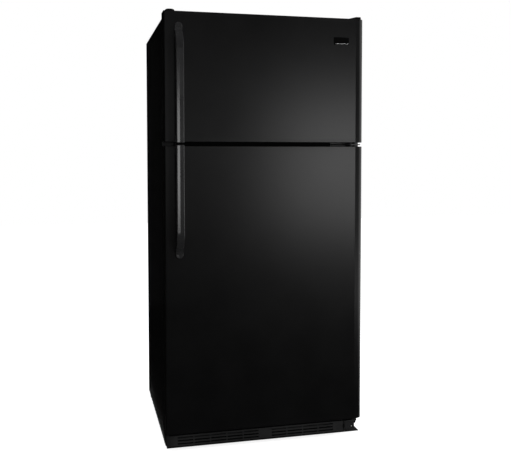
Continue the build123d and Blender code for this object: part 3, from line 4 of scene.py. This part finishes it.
import bmesh
import bpy
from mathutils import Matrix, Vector


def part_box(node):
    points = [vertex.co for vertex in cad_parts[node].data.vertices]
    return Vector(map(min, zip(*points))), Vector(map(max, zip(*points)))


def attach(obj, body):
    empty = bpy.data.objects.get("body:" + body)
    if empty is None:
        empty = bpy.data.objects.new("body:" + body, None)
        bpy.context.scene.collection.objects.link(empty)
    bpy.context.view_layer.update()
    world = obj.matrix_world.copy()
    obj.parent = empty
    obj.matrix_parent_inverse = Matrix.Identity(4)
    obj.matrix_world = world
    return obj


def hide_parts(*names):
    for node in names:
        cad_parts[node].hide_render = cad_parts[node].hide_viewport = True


# Looks of a black refrigerator with the freezer on top, in metres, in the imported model's frame.

# Camera: a little above the middle of the doors, to the left of the appliance.
# Its angles are in degrees, its lens and sensor in millimetres.
CAMERA_PLACE = (-0.6759, -3.0488, 1.0937)
CAMERA_YAW = 14.211
CAMERA_PITCH = -2.754
LENS = 53.2
SENSOR = 36.0
SHIFT = (-0.03, -0.09)

# Background and floor. A strength of 1 is white.
WHITE = (1, 1, 1, 1)
BACKGROUND = 1.0
AMBIENT = 0.6
FLOOR_COLOUR = (0.82, 0.82, 0.82)
FLOOR_ROUGHNESS = 0.9
FLOOR_LIFT = 0.8
FLOOR_REACH = 9

# Painted shadow on the floor: a dark floor colour, without the white lift, under the cabinet and just in
# front of it
FLOOR_PAINTED_SHADOW = (0.03, 0.03, 0.03)
PAINTED_SHADOW_SOFT = 0.004
PAINTED_SHADOW_INSET = 0.006
PAINTED_SHADOW_REACH = 0.03

# Lamps: where each stands, what it points at, its width and height, and its power in watts
LAMPS = {
    "key": {"place": (1.42, -3.3, 1.03), "target": (0.2, -0.325, 1.0), "size": (1.1, 1.0), "power": 19.8},
    "fill": {"place": (-0.36, -4.3, 1.4), "target": (-0.36, -0.325, 1.2), "size": (0.8, 1.4), "power": 3.8},
    "rim": {"place": (3.2, -0.95, 1.7), "target": (0.38, -0.3, 1.7), "size": (2.2, 3.4), "power": 37},
    "top": {"place": (0.2, -1.2, 3.4), "target": (0, 0, 0.8), "size": (2.4, 2.4), "power": 60},
}

# Lamps that reflections don't show
LAMPS_OUT_OF_GLOSS = ("top",)

# Studio flags: how bright the two kinds are, the room that they line, and where single flags end
FRONT_FLAG = 0.035
SIDE_FLAG = 0.003
STUDIO_X = (-5, 5)
STUDIO_Y = (-4.6, 2.4)
STUDIO_Z = (0, 5)
FLAG_LIFT = 0.004
RIGHT_FLAG_REAR = -0.3
LEFT_FLAG_REAR = 6
REAR_FLAG_RIGHT = -0.4
HIGH_FLAG_FOOT = 1.9
FLOOR_FLAG_RIGHT = 2
FLOOR_FLAG_REAR = -0.26
BESIDE_FLAG_RIGHT = -0.385
BESIDE_FLAG_FRONT = -0.4

# Nodes on top of the appliance that are matt, whatever their slot
MATT_NODES = ("top_hinge_cover", "hinge_hole_plug")
MATT_FINISH = "rail_black"

# Noise: the middle part of its range that is used, and its sizes and detail where finishes share them
NOISE_MIDDLE = (0.3, 0.7)
PATCH_SIZE = 0.12
PATCH_DETAIL = 3.0
GRAIN_DETAIL = 4.0
GRAIN_GAIN = 2.0
ROLLED_DETAIL = 3.0
ROLLED_PER_CRYSTAL = 6
ROLLED_STRENGTH = 0.3
FLOW_SIZE = 0.09
FLOW_DETAIL = 2.0
FLOW_DEPTH = 0.0004
FLOW_STRENGTH = 0.15

# Paint and plastics: two colours, the range of roughness, and the size and depth of the grain
MOULDED = {
    "black_enamel": {
        "dark": (0.0015, 0.0015, 0.0016), "pale": (0.0023, 0.0023, 0.0024), "rough": (0.275, 0.285),
        "grain": 0.004, "depth": 0.0002, "strength": 0.3, "specular": 0.25,
    },
    "rail_black": {
        "dark": (0.0012, 0.0012, 0.0013), "pale": (0.002, 0.002, 0.0021), "rough": (0.55, 0.65),
        "grain": 0.002, "depth": 0.0001, "strength": 0.3, "specular": 0.05,
    },
    "cap_black": {
        "dark": (0.0014, 0.0014, 0.0015), "pale": (0.0024, 0.0024, 0.0025), "rough": (0.28, 0.31),
        "grain": 0.004, "depth": 0.00015, "strength": 0.3, "specular": 0.25,
    },
    "black_plastic": {
        "dark": (0.006, 0.006, 0.0062), "pale": (0.011, 0.011, 0.0113), "rough": (0.42, 0.5),
        "grain": 0.0009, "depth": 0.00015, "strength": 0.4, "specular": 0.35,
    },
    "handle_plastic": {
        "dark": (0.009, 0.009, 0.0093), "pale": (0.0135, 0.0135, 0.0138), "rough": (0.16, 0.2),
        "grain": 0.0008, "depth": 0.0001, "strength": 0.25, "specular": 0.4,
    },
    "hinge_black": {
        "dark": (0.007, 0.007, 0.0072), "pale": (0.012, 0.012, 0.0123), "rough": (0.35, 0.45),
        "grain": 0.0012, "depth": 0.0002, "specular": 0.3,
    },
    "compressor_black": {
        "dark": (0.012, 0.012, 0.012), "pale": (0.028, 0.028, 0.028), "rough": (0.3, 0.42),
        "grain": 0.004, "depth": 0.0003,
    },
    "white_liner": {
        "dark": (0.74, 0.755, 0.75), "pale": (0.8, 0.81, 0.8), "rough": (0.3, 0.38),
        "grain": 0.003, "depth": 0.00012, "strength": 0.3,
    },
    "white_wire": {
        "dark": (0.76, 0.76, 0.75), "pale": (0.82, 0.82, 0.81), "rough": (0.3, 0.4),
        "grain": 0.004, "depth": 0.0002,
    },
    "grey_plastic": {
        "dark": (0.36, 0.37, 0.39), "pale": (0.44, 0.45, 0.47), "rough": (0.4, 0.5),
        "grain": 0.0008, "depth": 0.0001,
    },
    "nylon": {
        "dark": (0.008, 0.008, 0.0082), "pale": (0.014, 0.014, 0.0142), "rough": (0.45, 0.55),
        "grain": 0.001, "depth": 0.0001,
    },
    "gasket": {
        "dark": (0.012, 0.012, 0.013), "pale": (0.024, 0.024, 0.025), "rough": (0.5, 0.62),
        "grain": 0.0012, "depth": 0.0002,
    },
    "foam": {
        "dark": (0.72, 0.62, 0.38), "pale": (0.82, 0.74, 0.5), "rough": (0.8, 0.95),
        "grain": 0.0015, "depth": 0.0006,
    },
    "badge_black": {
        "dark": (0.001, 0.001, 0.001), "pale": (0.002, 0.002, 0.002), "rough": (0.12, 0.18),
        "grain": 0.002, "depth": 0.00004, "specular": 0.1,
    },
}

# Metals: two colours, the range of roughness, the size of the crystals and the depth of the rolling marks
PLATED = {
    "galvanised": {
        "dark": (0.42, 0.43, 0.44), "pale": (0.6, 0.61, 0.62), "rough": (0.34, 0.5),
        "crystal": 0.014, "depth": 0.0001,
    },
    "zinc": {
        "dark": (0.55, 0.55, 0.53), "pale": (0.66, 0.66, 0.64), "rough": (0.25, 0.4),
        "crystal": 0.003, "depth": 0.00005,
    },
    "coil_aluminium": {
        "dark": (0.66, 0.67, 0.68), "pale": (0.78, 0.79, 0.8), "rough": (0.3, 0.45),
        "crystal": 0.006, "depth": 0.00005,
    },
    "badge_silver": {
        "dark": (0.75, 0.75, 0.76), "pale": (0.85, 0.85, 0.86), "rough": (0.2, 0.3),
        "crystal": 0.002, "depth": 0.00002,
    },
}

# Glass and clear plastics: two tints, the range of roughness, how clear they are and how much they refract
CLEAR = {
    "clear_plastic": {
        "tint": (0.8, 0.88, 0.9), "pale": (0.88, 0.93, 0.94), "rough": (0.06, 0.12),
        "clear": 0.9, "ior": 1.49,
    },
    "glass": {
        "tint": (0.8, 0.92, 0.88), "pale": (0.86, 0.95, 0.92), "rough": (0.01, 0.03),
        "clear": 1.0, "ior": 1.5,
    },
    "lamp_glass": {
        "tint": (0.94, 0.92, 0.84), "pale": (0.97, 0.96, 0.9), "rough": (0.35, 0.5),
        "clear": 0.7, "ior": 1.5,
    },
}

# The scene's own pieces: edges below this angle in degrees are smooth, and a round corner has so many steps
SMOOTH_BELOW = 35
CORNER_STEPS = 4

# The bare badge plate on the freezer door, and the stripe along its foot
BADGE_X = (0.259, 0.319)
BADGE_Z = (1.507, 1.534)
BADGE_THICKNESS = 0.0012
BADGE_ROUND = 0.002
BADGE_BEVEL = 0.0004
STRIPE_LEFT = 0.006
STRIPE_RISE = 0.0022
STRIPE_HEIGHT = 0.0016
STRIPE_THICKNESS = 0.0004
STRIPE_ROUND = 0.0005
STRIPE_BEVEL = 0.0002

# Screws on the back: their places, and the steps of the washer face and the head as radius and height
SCREW_INSET = 0.012
SCREW_PITCH = 0.23
WASHER = [(0.0055, 0), (0.0055, 0.0008), (0.0045, 0.0012)]
WASHER_SIDES = 20
HEAD = [(0.004, 0), (0.004, 0.0022), (0.0033, 0.0028)]
HEAD_SIDES = 6

# Door seal section: distance in from the seal's outer edge and height off the door, in millimetres
MM_IN_METRE = 1000
SEAL_SECTION = [
    (2.0, 0.0), (2.0, 1.6), (0.8, 2.6), (0.4, 3.8), (1.2, 4.8), (2.4, 5.4), (1.2, 6.0),
    (0.3, 7.0), (0.0, 8.5), (0.3, 10.4), (1.4, 11.4), (3.0, 11.7), (12.0, 11.7), (13.4, 11.4),
    (14.4, 10.4), (14.7, 8.6), (14.3, 7.2), (13.2, 6.2), (12.2, 5.6), (13.4, 4.9), (14.6, 4.2),
    (15.6, 4.6), (17.2, 6.6), (18.0, 8.8), (17.6, 6.0), (16.9, 3.6), (16.2, 1.6), (16.2, 0.0),
]

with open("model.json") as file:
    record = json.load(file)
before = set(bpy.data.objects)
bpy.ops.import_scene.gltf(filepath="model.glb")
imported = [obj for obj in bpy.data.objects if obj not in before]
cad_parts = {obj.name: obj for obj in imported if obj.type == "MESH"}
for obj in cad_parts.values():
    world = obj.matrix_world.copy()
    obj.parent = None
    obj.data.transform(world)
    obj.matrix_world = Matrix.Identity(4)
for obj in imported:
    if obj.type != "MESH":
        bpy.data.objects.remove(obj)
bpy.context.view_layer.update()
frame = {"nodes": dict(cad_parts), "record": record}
nodes = frame["nodes"]
scene = bpy.context.scene


def add(tree, kind, inputs=None, **settings):
    """A new node with its settings and unlinked input values."""
    node = tree.nodes.new(kind)
    for name, value in settings.items():
        setattr(node, name, value)
    for name, value in (inputs or {}).items():
        node.inputs[name].default_value = value
    return node


def maths(tree, operation, *values):
    """The result of a calculation on sockets and numbers."""
    node = add(tree, "ShaderNodeMath", operation=operation)
    for value, socket in zip(values, node.inputs):
        if isinstance(value, (int, float)):
            socket.default_value = value
        else:
            tree.links.new(value, socket)
    return node.outputs[0]


def coordinates(tree):
    """The surface's own coordinates in metres, which move with the piece."""
    return add(tree, "ShaderNodeTexCoord").outputs["Object"]


def noise(tree, size, detail):
    """Noise whose features are about the given size."""
    node = add(tree, "ShaderNodeTexNoise", {"Scale": 1.0 / size, "Detail": detail})
    tree.links.new(coordinates(tree), node.inputs["Vector"])
    return node.outputs["Fac"]


def cells(tree, size):
    """A grey level for each cell of a crystal pattern."""
    node = add(tree, "ShaderNodeTexVoronoi", {"Scale": 1.0 / size})
    tree.links.new(coordinates(tree), node.inputs["Vector"])
    grey = add(tree, "ShaderNodeSeparateColor")
    tree.links.new(node.outputs["Color"], grey.inputs["Color"])
    return grey.outputs["Red"]


def spread(tree, source, low, high):
    """The middle of a noise's range stretched to run from low to high."""
    limits = {"From Min": NOISE_MIDDLE[0], "From Max": NOISE_MIDDLE[1], "To Min": low, "To Max": high}
    node = add(tree, "ShaderNodeMapRange", limits)
    tree.links.new(source, node.inputs["Value"])
    return node.outputs["Result"]


def blend_colours(tree, factor, first, second):
    """A colour that runs from the first to the second as the factor runs from 0 to 1."""
    node = add(tree, "ShaderNodeMix", data_type="RGBA")
    node.inputs["A"].default_value = (*first, 1)
    node.inputs["B"].default_value = (*second, 1)
    tree.links.new(factor, node.inputs["Factor"])
    return node.outputs["Result"]


def new_material(name, **sockets):
    """A Principled material whose constant values are set on the shader itself."""
    material = bpy.data.materials.new(name)
    material.use_nodes = True
    tree = material.node_tree
    shader = tree.nodes["Principled BSDF"]
    for socket, value in sockets.items():
        shader.inputs[socket.replace("_", " ")].default_value = value
    return material, tree, shader


def set_surface(tree, shader, colour, roughness, height, depth, strength):
    """Links colour, roughness and a bump of the given depth to the shader."""
    bump = add(tree, "ShaderNodeBump", {"Distance": depth, "Strength": strength})
    tree.links.new(height, bump.inputs["Height"])
    tree.links.new(colour, shader.inputs["Base Color"])
    tree.links.new(roughness, shader.inputs["Roughness"])
    tree.links.new(bump.outputs["Normal"], shader.inputs["Normal"])


def moulded(name, dark, pale, rough, grain, depth, strength=0.5, specular=0.5):
    """Paint or plastic: patchy colour and gloss over a fine grain."""
    material, tree, shader = new_material(name, Specular_IOR_Level=specular)
    broad = noise(tree, PATCH_SIZE, PATCH_DETAIL)
    fine = noise(tree, grain, GRAIN_DETAIL)
    mixed = maths(tree, "MULTIPLY", maths(tree, "MULTIPLY", broad, fine), GRAIN_GAIN)
    colour = blend_colours(tree, spread(tree, mixed, 0.0, 1.0), dark, pale)
    set_surface(tree, shader, colour, spread(tree, broad, *rough), fine, depth, strength)
    return material


def plated(name, dark, pale, rough, crystal, depth):
    """Bare or plated metal with a crystal or rolled pattern."""
    material, tree, shader = new_material(name, Metallic=1.0)
    colour = blend_colours(tree, cells(tree, crystal), dark, pale)
    fine = noise(tree, crystal / ROLLED_PER_CRYSTAL, ROLLED_DETAIL)
    set_surface(tree, shader, colour, spread(tree, fine, *rough), fine, depth, ROLLED_STRENGTH)
    return material


def see_through(name, tint, pale, rough, clear, ior):
    """Clear plastic or glass with slight flow marks."""
    material, tree, shader = new_material(name, Transmission_Weight=clear, IOR=ior)
    flow = noise(tree, FLOW_SIZE, FLOW_DETAIL)
    colour = blend_colours(tree, flow, tint, pale)
    set_surface(tree, shader, colour, spread(tree, flow, *rough), flow, FLOW_DEPTH, FLOW_STRENGTH)
    return material


def make_materials():
    """A material for each slot of the record and for the badge."""
    materials = {}
    for make, finishes in ((moulded, MOULDED), (plated, PLATED), (see_through, CLEAR)):
        for name, finish in finishes.items():
            materials[name] = make(name, **finish)
    return materials


def dress_nodes(materials):
    """Gives every CAD node the material of its slot, or the matt black of the pieces on top."""
    for part in frame["record"]["subparts"]:
        finish = MATT_FINISH if part["node"] in MATT_NODES else part["material_slot"]
        mesh = nodes[part["node"]].data
        mesh.materials.clear()
        mesh.materials.append(materials[finish])


def piece_from(bm, name, material):
    """A finished piece from a bmesh, smooth across its shallow edges."""
    bmesh.ops.recalc_face_normals(bm, faces=bm.faces)
    mesh = bpy.data.meshes.new(name)
    bm.to_mesh(mesh)
    bm.free()
    mesh.shade_smooth()
    mesh.set_sharp_from_angle(angle=math.radians(SMOOTH_BELOW))
    mesh.materials.append(material)
    piece = bpy.data.objects.new(name, mesh)
    scene.collection.objects.link(piece)
    return piece


def skin_loops(bm, loops, closed=False):
    """Joins rings of equally many points with quads and, unless closed, caps both ends."""
    rings = [[bm.verts.new(point) for point in loop] for loop in loops]
    following = rings[1:] + rings[:1] if closed else rings[1:]
    count = len(rings[0])
    for first, second in zip(rings, following):
        for i in range(count):
            j = (i + 1) % count
            bm.faces.new((first[i], first[j], second[j], second[i]))
    if not closed:
        bm.faces.new(rings[0])
        bm.faces.new(rings[-1])


def rounded_outline(x, z, radius, inset):
    """Points round an upright rectangle with rounded corners, drawn in by the inset."""
    centres = (
        (x[1] - radius, z[1] - radius),
        (x[0] + radius, z[1] - radius),
        (x[0] + radius, z[0] + radius),
        (x[1] - radius, z[0] + radius),
    )
    reach = radius - inset
    points = []
    for quarter, (cx, cz) in enumerate(centres):
        for step in range(CORNER_STEPS + 1):
            angle = math.radians(90 * (quarter + step / CORNER_STEPS))
            points.append((cx + reach * math.cos(angle), cz + reach * math.sin(angle)))
    return points


def slab(bm, x, z, radius, back, thickness, bevel):
    """A thin plate on an upright face that looks along -Y, with a bevelled front edge."""
    front = back - thickness
    layers = ((back, 0.0), (front + bevel, 0.0), (front, bevel))
    loops = [[(px, y, pz) for px, pz in rounded_outline(x, z, radius, inset)] for y, inset in layers]
    skin_loops(bm, loops)


def badge(materials):
    """A bare plate with a thin bright stripe along its foot."""
    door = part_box("freezer_door_skin")[0][1]
    bm = bmesh.new()
    slab(bm, BADGE_X, BADGE_Z, BADGE_ROUND, door, BADGE_THICKNESS, BADGE_BEVEL)
    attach(piece_from(bm, "badge_plate", materials["badge_black"]), "freezer_door")
    x = (BADGE_X[0] + STRIPE_LEFT, BADGE_X[1] - BADGE_ROUND)
    z = (BADGE_Z[0] + STRIPE_RISE, BADGE_Z[0] + STRIPE_RISE + STRIPE_HEIGHT)
    bm = bmesh.new()
    slab(bm, x, z, STRIPE_ROUND, door - BADGE_THICKNESS, STRIPE_THICKNESS, STRIPE_BEVEL)
    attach(piece_from(bm, "badge_stripe", materials["badge_silver"]), "freezer_door")


def door_seal(name, node, body, materials):
    """A bellows seal with a magnet pocket and an inner lip, mitred at the corners."""
    low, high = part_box(node)
    loops = []
    for side_x, side_z in ((-1, -1), (1, -1), (1, 1), (-1, 1)):
        edge_x = high[0] if side_x > 0 else low[0]
        edge_z = high[2] if side_z > 0 else low[2]
        loop = []
        for inward, rise in SEAL_SECTION:
            x = edge_x - side_x * inward / MM_IN_METRE
            z = edge_z - side_z * inward / MM_IN_METRE
            loop.append((x, low[1] + rise / MM_IN_METRE, z))
        loops.append(loop)
    bm = bmesh.new()
    skin_loops(bm, loops, closed=True)
    piece = piece_from(bm, name, materials["gasket"])
    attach(piece, body)
    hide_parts(node)


def turned(bm, centre, profile, sides):
    """A stack of rings round +Y from (radius, height) steps, closed at both ends."""
    angles = [2 * math.pi * i / sides for i in range(sides)]
    loops = []
    for radius, height in profile:
        y = centre[1] + height
        ring = [(centre[0] + radius * math.cos(a), y, centre[2] + radius * math.sin(a)) for a in angles]
        loops.append(ring)
    skin_loops(bm, loops)


def screw(bm, centre):
    """A hexagon head on a washer face."""
    x, y, z = centre
    turned(bm, centre, WASHER, WASHER_SIDES)
    washer_top = WASHER[-1][1]
    turned(bm, (x, y + washer_top, z), HEAD, HEAD_SIDES)


def steps_between(low, high, pitch):
    """Evenly spaced places from low to high, about the pitch apart."""
    count = max(1, round((high - low) / pitch))
    return [low + (high - low) * i / count for i in range(count + 1)]


def back_screws(materials):
    """Screws along the sides and the top of the back panel and of the machine cover."""
    bm = bmesh.new()
    for node in ("back_panel", "machine_cover"):
        low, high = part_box(node)
        left, right = low[0] + SCREW_INSET, high[0] - SCREW_INSET
        bottom, top = low[2] + SCREW_INSET, high[2] - SCREW_INSET
        places = {(x, z) for z in steps_between(bottom, top, SCREW_PITCH) for x in (left, right)}
        places |= {(x, top) for x in steps_between(left, right, SCREW_PITCH)}
        for x, z in sorted(places):
            screw(bm, (x, high[1], z))
    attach(piece_from(bm, "back_screws", materials["zinc"]), "cabinet")


def seen_rays(tree):
    """1 for rays that show the background: from the camera, off gloss and through glass."""
    path = add(tree, "ShaderNodeLightPath").outputs
    direct = maths(tree, "MAXIMUM", path["Is Camera Ray"], path["Is Glossy Ray"])
    return maths(tree, "MAXIMUM", direct, path["Is Transmission Ray"])


def make_world():
    """A white background over a softer light from all round."""
    world = bpy.data.worlds.new("studio")
    scene.world = world
    world.use_nodes = True
    tree = world.node_tree
    tree.nodes.clear()
    ambient = add(tree, "ShaderNodeBackground", {"Color": WHITE, "Strength": AMBIENT})
    white = add(tree, "ShaderNodeBackground", {"Color": WHITE, "Strength": BACKGROUND})
    mix = add(tree, "ShaderNodeMixShader")
    tree.links.new(seen_rays(tree), mix.inputs[0])
    tree.links.new(ambient.outputs[0], mix.inputs[1])
    tree.links.new(white.outputs[0], mix.inputs[2])
    output = add(tree, "ShaderNodeOutputWorld")
    tree.links.new(mix.outputs[0], output.inputs["Surface"])


def stage_plane(name, corners, material):
    """A flat piece of the studio."""
    mesh = bpy.data.meshes.new(name)
    mesh.from_pydata(corners, [], [range(len(corners))])
    mesh.materials.append(material)
    plane = bpy.data.objects.new(name, mesh)
    scene.collection.objects.link(plane)
    return plane


def upright(x, y, z):
    """Corners of an upright sheet, from its two ends and its lower and upper height."""
    return [(x[0], y[0], z[0]), (x[1], y[1], z[0]), (x[1], y[1], z[1]), (x[0], y[0], z[1])]


def lying(x, y, z):
    """Corners of a level sheet at one height."""
    return [(x[0], y[0], z), (x[1], y[0], z), (x[1], y[1], z), (x[0], y[1], z)]


def outside_painted_shadow(tree):
    """The mask of the painted shadow: 0 on the floor under the cabinet and just in front of it, 1
    elsewhere.
    """
    place = add(tree, "ShaderNodeSeparateXYZ")
    tree.links.new(coordinates(tree), place.inputs[0])
    low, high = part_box("cabinet_shell")
    spans = {
        "X": (low[0] + PAINTED_SHADOW_INSET, high[0] + PAINTED_SHADOW_INSET),
        "Y": (low[1] - PAINTED_SHADOW_REACH, high[1] - PAINTED_SHADOW_INSET),
    }
    edges = []
    for axis, (start, end) in spans.items():
        half = (end - start) / 2
        from_middle = maths(tree, "SUBTRACT", place.outputs[axis], (start + end) / 2)
        limits = {"From Min": half - PAINTED_SHADOW_SOFT, "From Max": half}
        edge = add(tree, "ShaderNodeMapRange", limits, interpolation_type="SMOOTHSTEP")
        tree.links.new(maths(tree, "ABSOLUTE", from_middle), edge.inputs["Value"])
        edges.append(edge.outputs["Result"])
    return maths(tree, "MAXIMUM", *edges)


def make_floor():
    """A pale floor that keeps the shadow and runs into the white background, with a painted shadow under
    the cabinet.
    """
    material, tree, shader = new_material(
        "floor", Roughness=FLOOR_ROUGHNESS, Specular_IOR_Level=0.0, Emission_Color=WHITE,
    )
    outside_shadow = outside_painted_shadow(tree)
    # Painted shadow: under the cabinet and just in front of it, the floor colour turns dark and its white
    # lift is taken away.
    tree.links.new(blend_colours(tree, outside_shadow, FLOOR_PAINTED_SHADOW, FLOOR_COLOUR), shader.inputs["Base Color"])
    seen = maths(tree, "MULTIPLY", seen_rays(tree), outside_shadow)
    tree.links.new(maths(tree, "MULTIPLY", seen, FLOOR_LIFT), shader.inputs["Emission Strength"])
    span = (-FLOOR_REACH, FLOOR_REACH)
    stage_plane("floor", lying(span, span, 0), material)


def flag_material(name, strength):
    """An even glow of the given strength."""
    material = bpy.data.materials.new(name)
    material.use_nodes = True
    tree = material.node_tree
    tree.nodes.clear()
    glow = add(tree, "ShaderNodeEmission", {"Color": WHITE, "Strength": strength})
    output = add(tree, "ShaderNodeOutputMaterial")
    tree.links.new(glow.outputs[0], output.inputs["Surface"])
    return material


def black_flag(name, corners, material):
    """A studio flag: it keeps black surfaces black in reflections and is seen nowhere else."""
    flag = stage_plane(name, corners, material)
    flag.visible_camera = False
    flag.visible_diffuse = False
    flag.visible_shadow = False
    flag.visible_transmission = False


def make_flags():
    """Dark cloth round the appliance, as in a studio for black goods."""
    left, right = STUDIO_X
    front, rear = STUDIO_Y
    top = STUDIO_Z[1]
    dark = flag_material("front_flag", FRONT_FLAG)
    black_flag("flag_front", upright(STUDIO_X, (front, front), STUDIO_Z), dark)
    black_flag("flag_right", upright((right, right), (front, RIGHT_FLAG_REAR), STUDIO_Z), dark)
    black_flag("flag_high", upright((REAR_FLAG_RIGHT, right), (rear, rear), (HIGH_FLAG_FOOT, top)), dark)
    black_flag("flag_ceiling", lying(STUDIO_X, STUDIO_Y, top), dark)
    black_flag("flag_floor", lying((left, FLOOR_FLAG_RIGHT), (front, FLOOR_FLAG_REAR), FLAG_LIFT), dark)
    darker = flag_material("side_flag", SIDE_FLAG)
    black_flag("flag_left", upright((left, left), (front, LEFT_FLAG_REAR), STUDIO_Z), darker)
    black_flag("flag_rear", upright((left, REAR_FLAG_RIGHT), (rear, rear), STUDIO_Z), darker)
    beside = lying((left, BESIDE_FLAG_RIGHT), (BESIDE_FLAG_FRONT, rear), FLAG_LIFT)
    black_flag("flag_beside", beside, darker)


def soft_box(name, place, target, size, power):
    """A rectangular lamp that points at its target and isn't seen itself."""
    light = bpy.data.lights.new(name, "AREA")
    light.shape = "RECTANGLE"
    light.size = size[0]
    light.size_y = size[1]
    light.energy = power
    lamp = bpy.data.objects.new(name, light)
    lamp.location = place
    lamp.rotation_euler = (Vector(target) - Vector(place)).to_track_quat("-Z", "Y").to_euler()
    lamp.visible_camera = False
    lamp.visible_glossy = name not in LAMPS_OUT_OF_GLOSS
    scene.collection.objects.link(lamp)


def make_lights():
    """The soft boxes round the appliance."""
    for name, lamp in LAMPS.items():
        soft_box(name, **lamp)


def make_camera():
    """The camera that the main picture is taken with."""
    data = bpy.data.cameras.new("camera")
    data.lens = LENS
    data.sensor_width = SENSOR
    data.shift_x, data.shift_y = SHIFT
    camera = bpy.data.objects.new("camera", data)
    camera.location = CAMERA_PLACE
    yaw = math.radians(CAMERA_YAW)
    pitch = math.radians(CAMERA_PITCH)
    ahead = Vector((math.sin(yaw) * math.cos(pitch), math.cos(yaw) * math.cos(pitch), math.sin(pitch)))
    camera.rotation_euler = ahead.to_track_quat("-Z", "Y").to_euler()
    scene.collection.objects.link(camera)
    scene.camera = camera


def main():
    """Dresses the CAD nodes, adds the scene's own pieces and builds the studio."""
    scene.view_settings.view_transform = "Standard"
    materials = make_materials()
    dress_nodes(materials)
    badge(materials)
    door_seal("freezer_seal", "freezer_gasket", "freezer_door", materials)
    door_seal("fridge_seal", "fridge_gasket", "fridge_door", materials)
    back_screws(materials)
    make_world()
    make_floor()
    make_flags()
    make_lights()
    make_camera()


main()
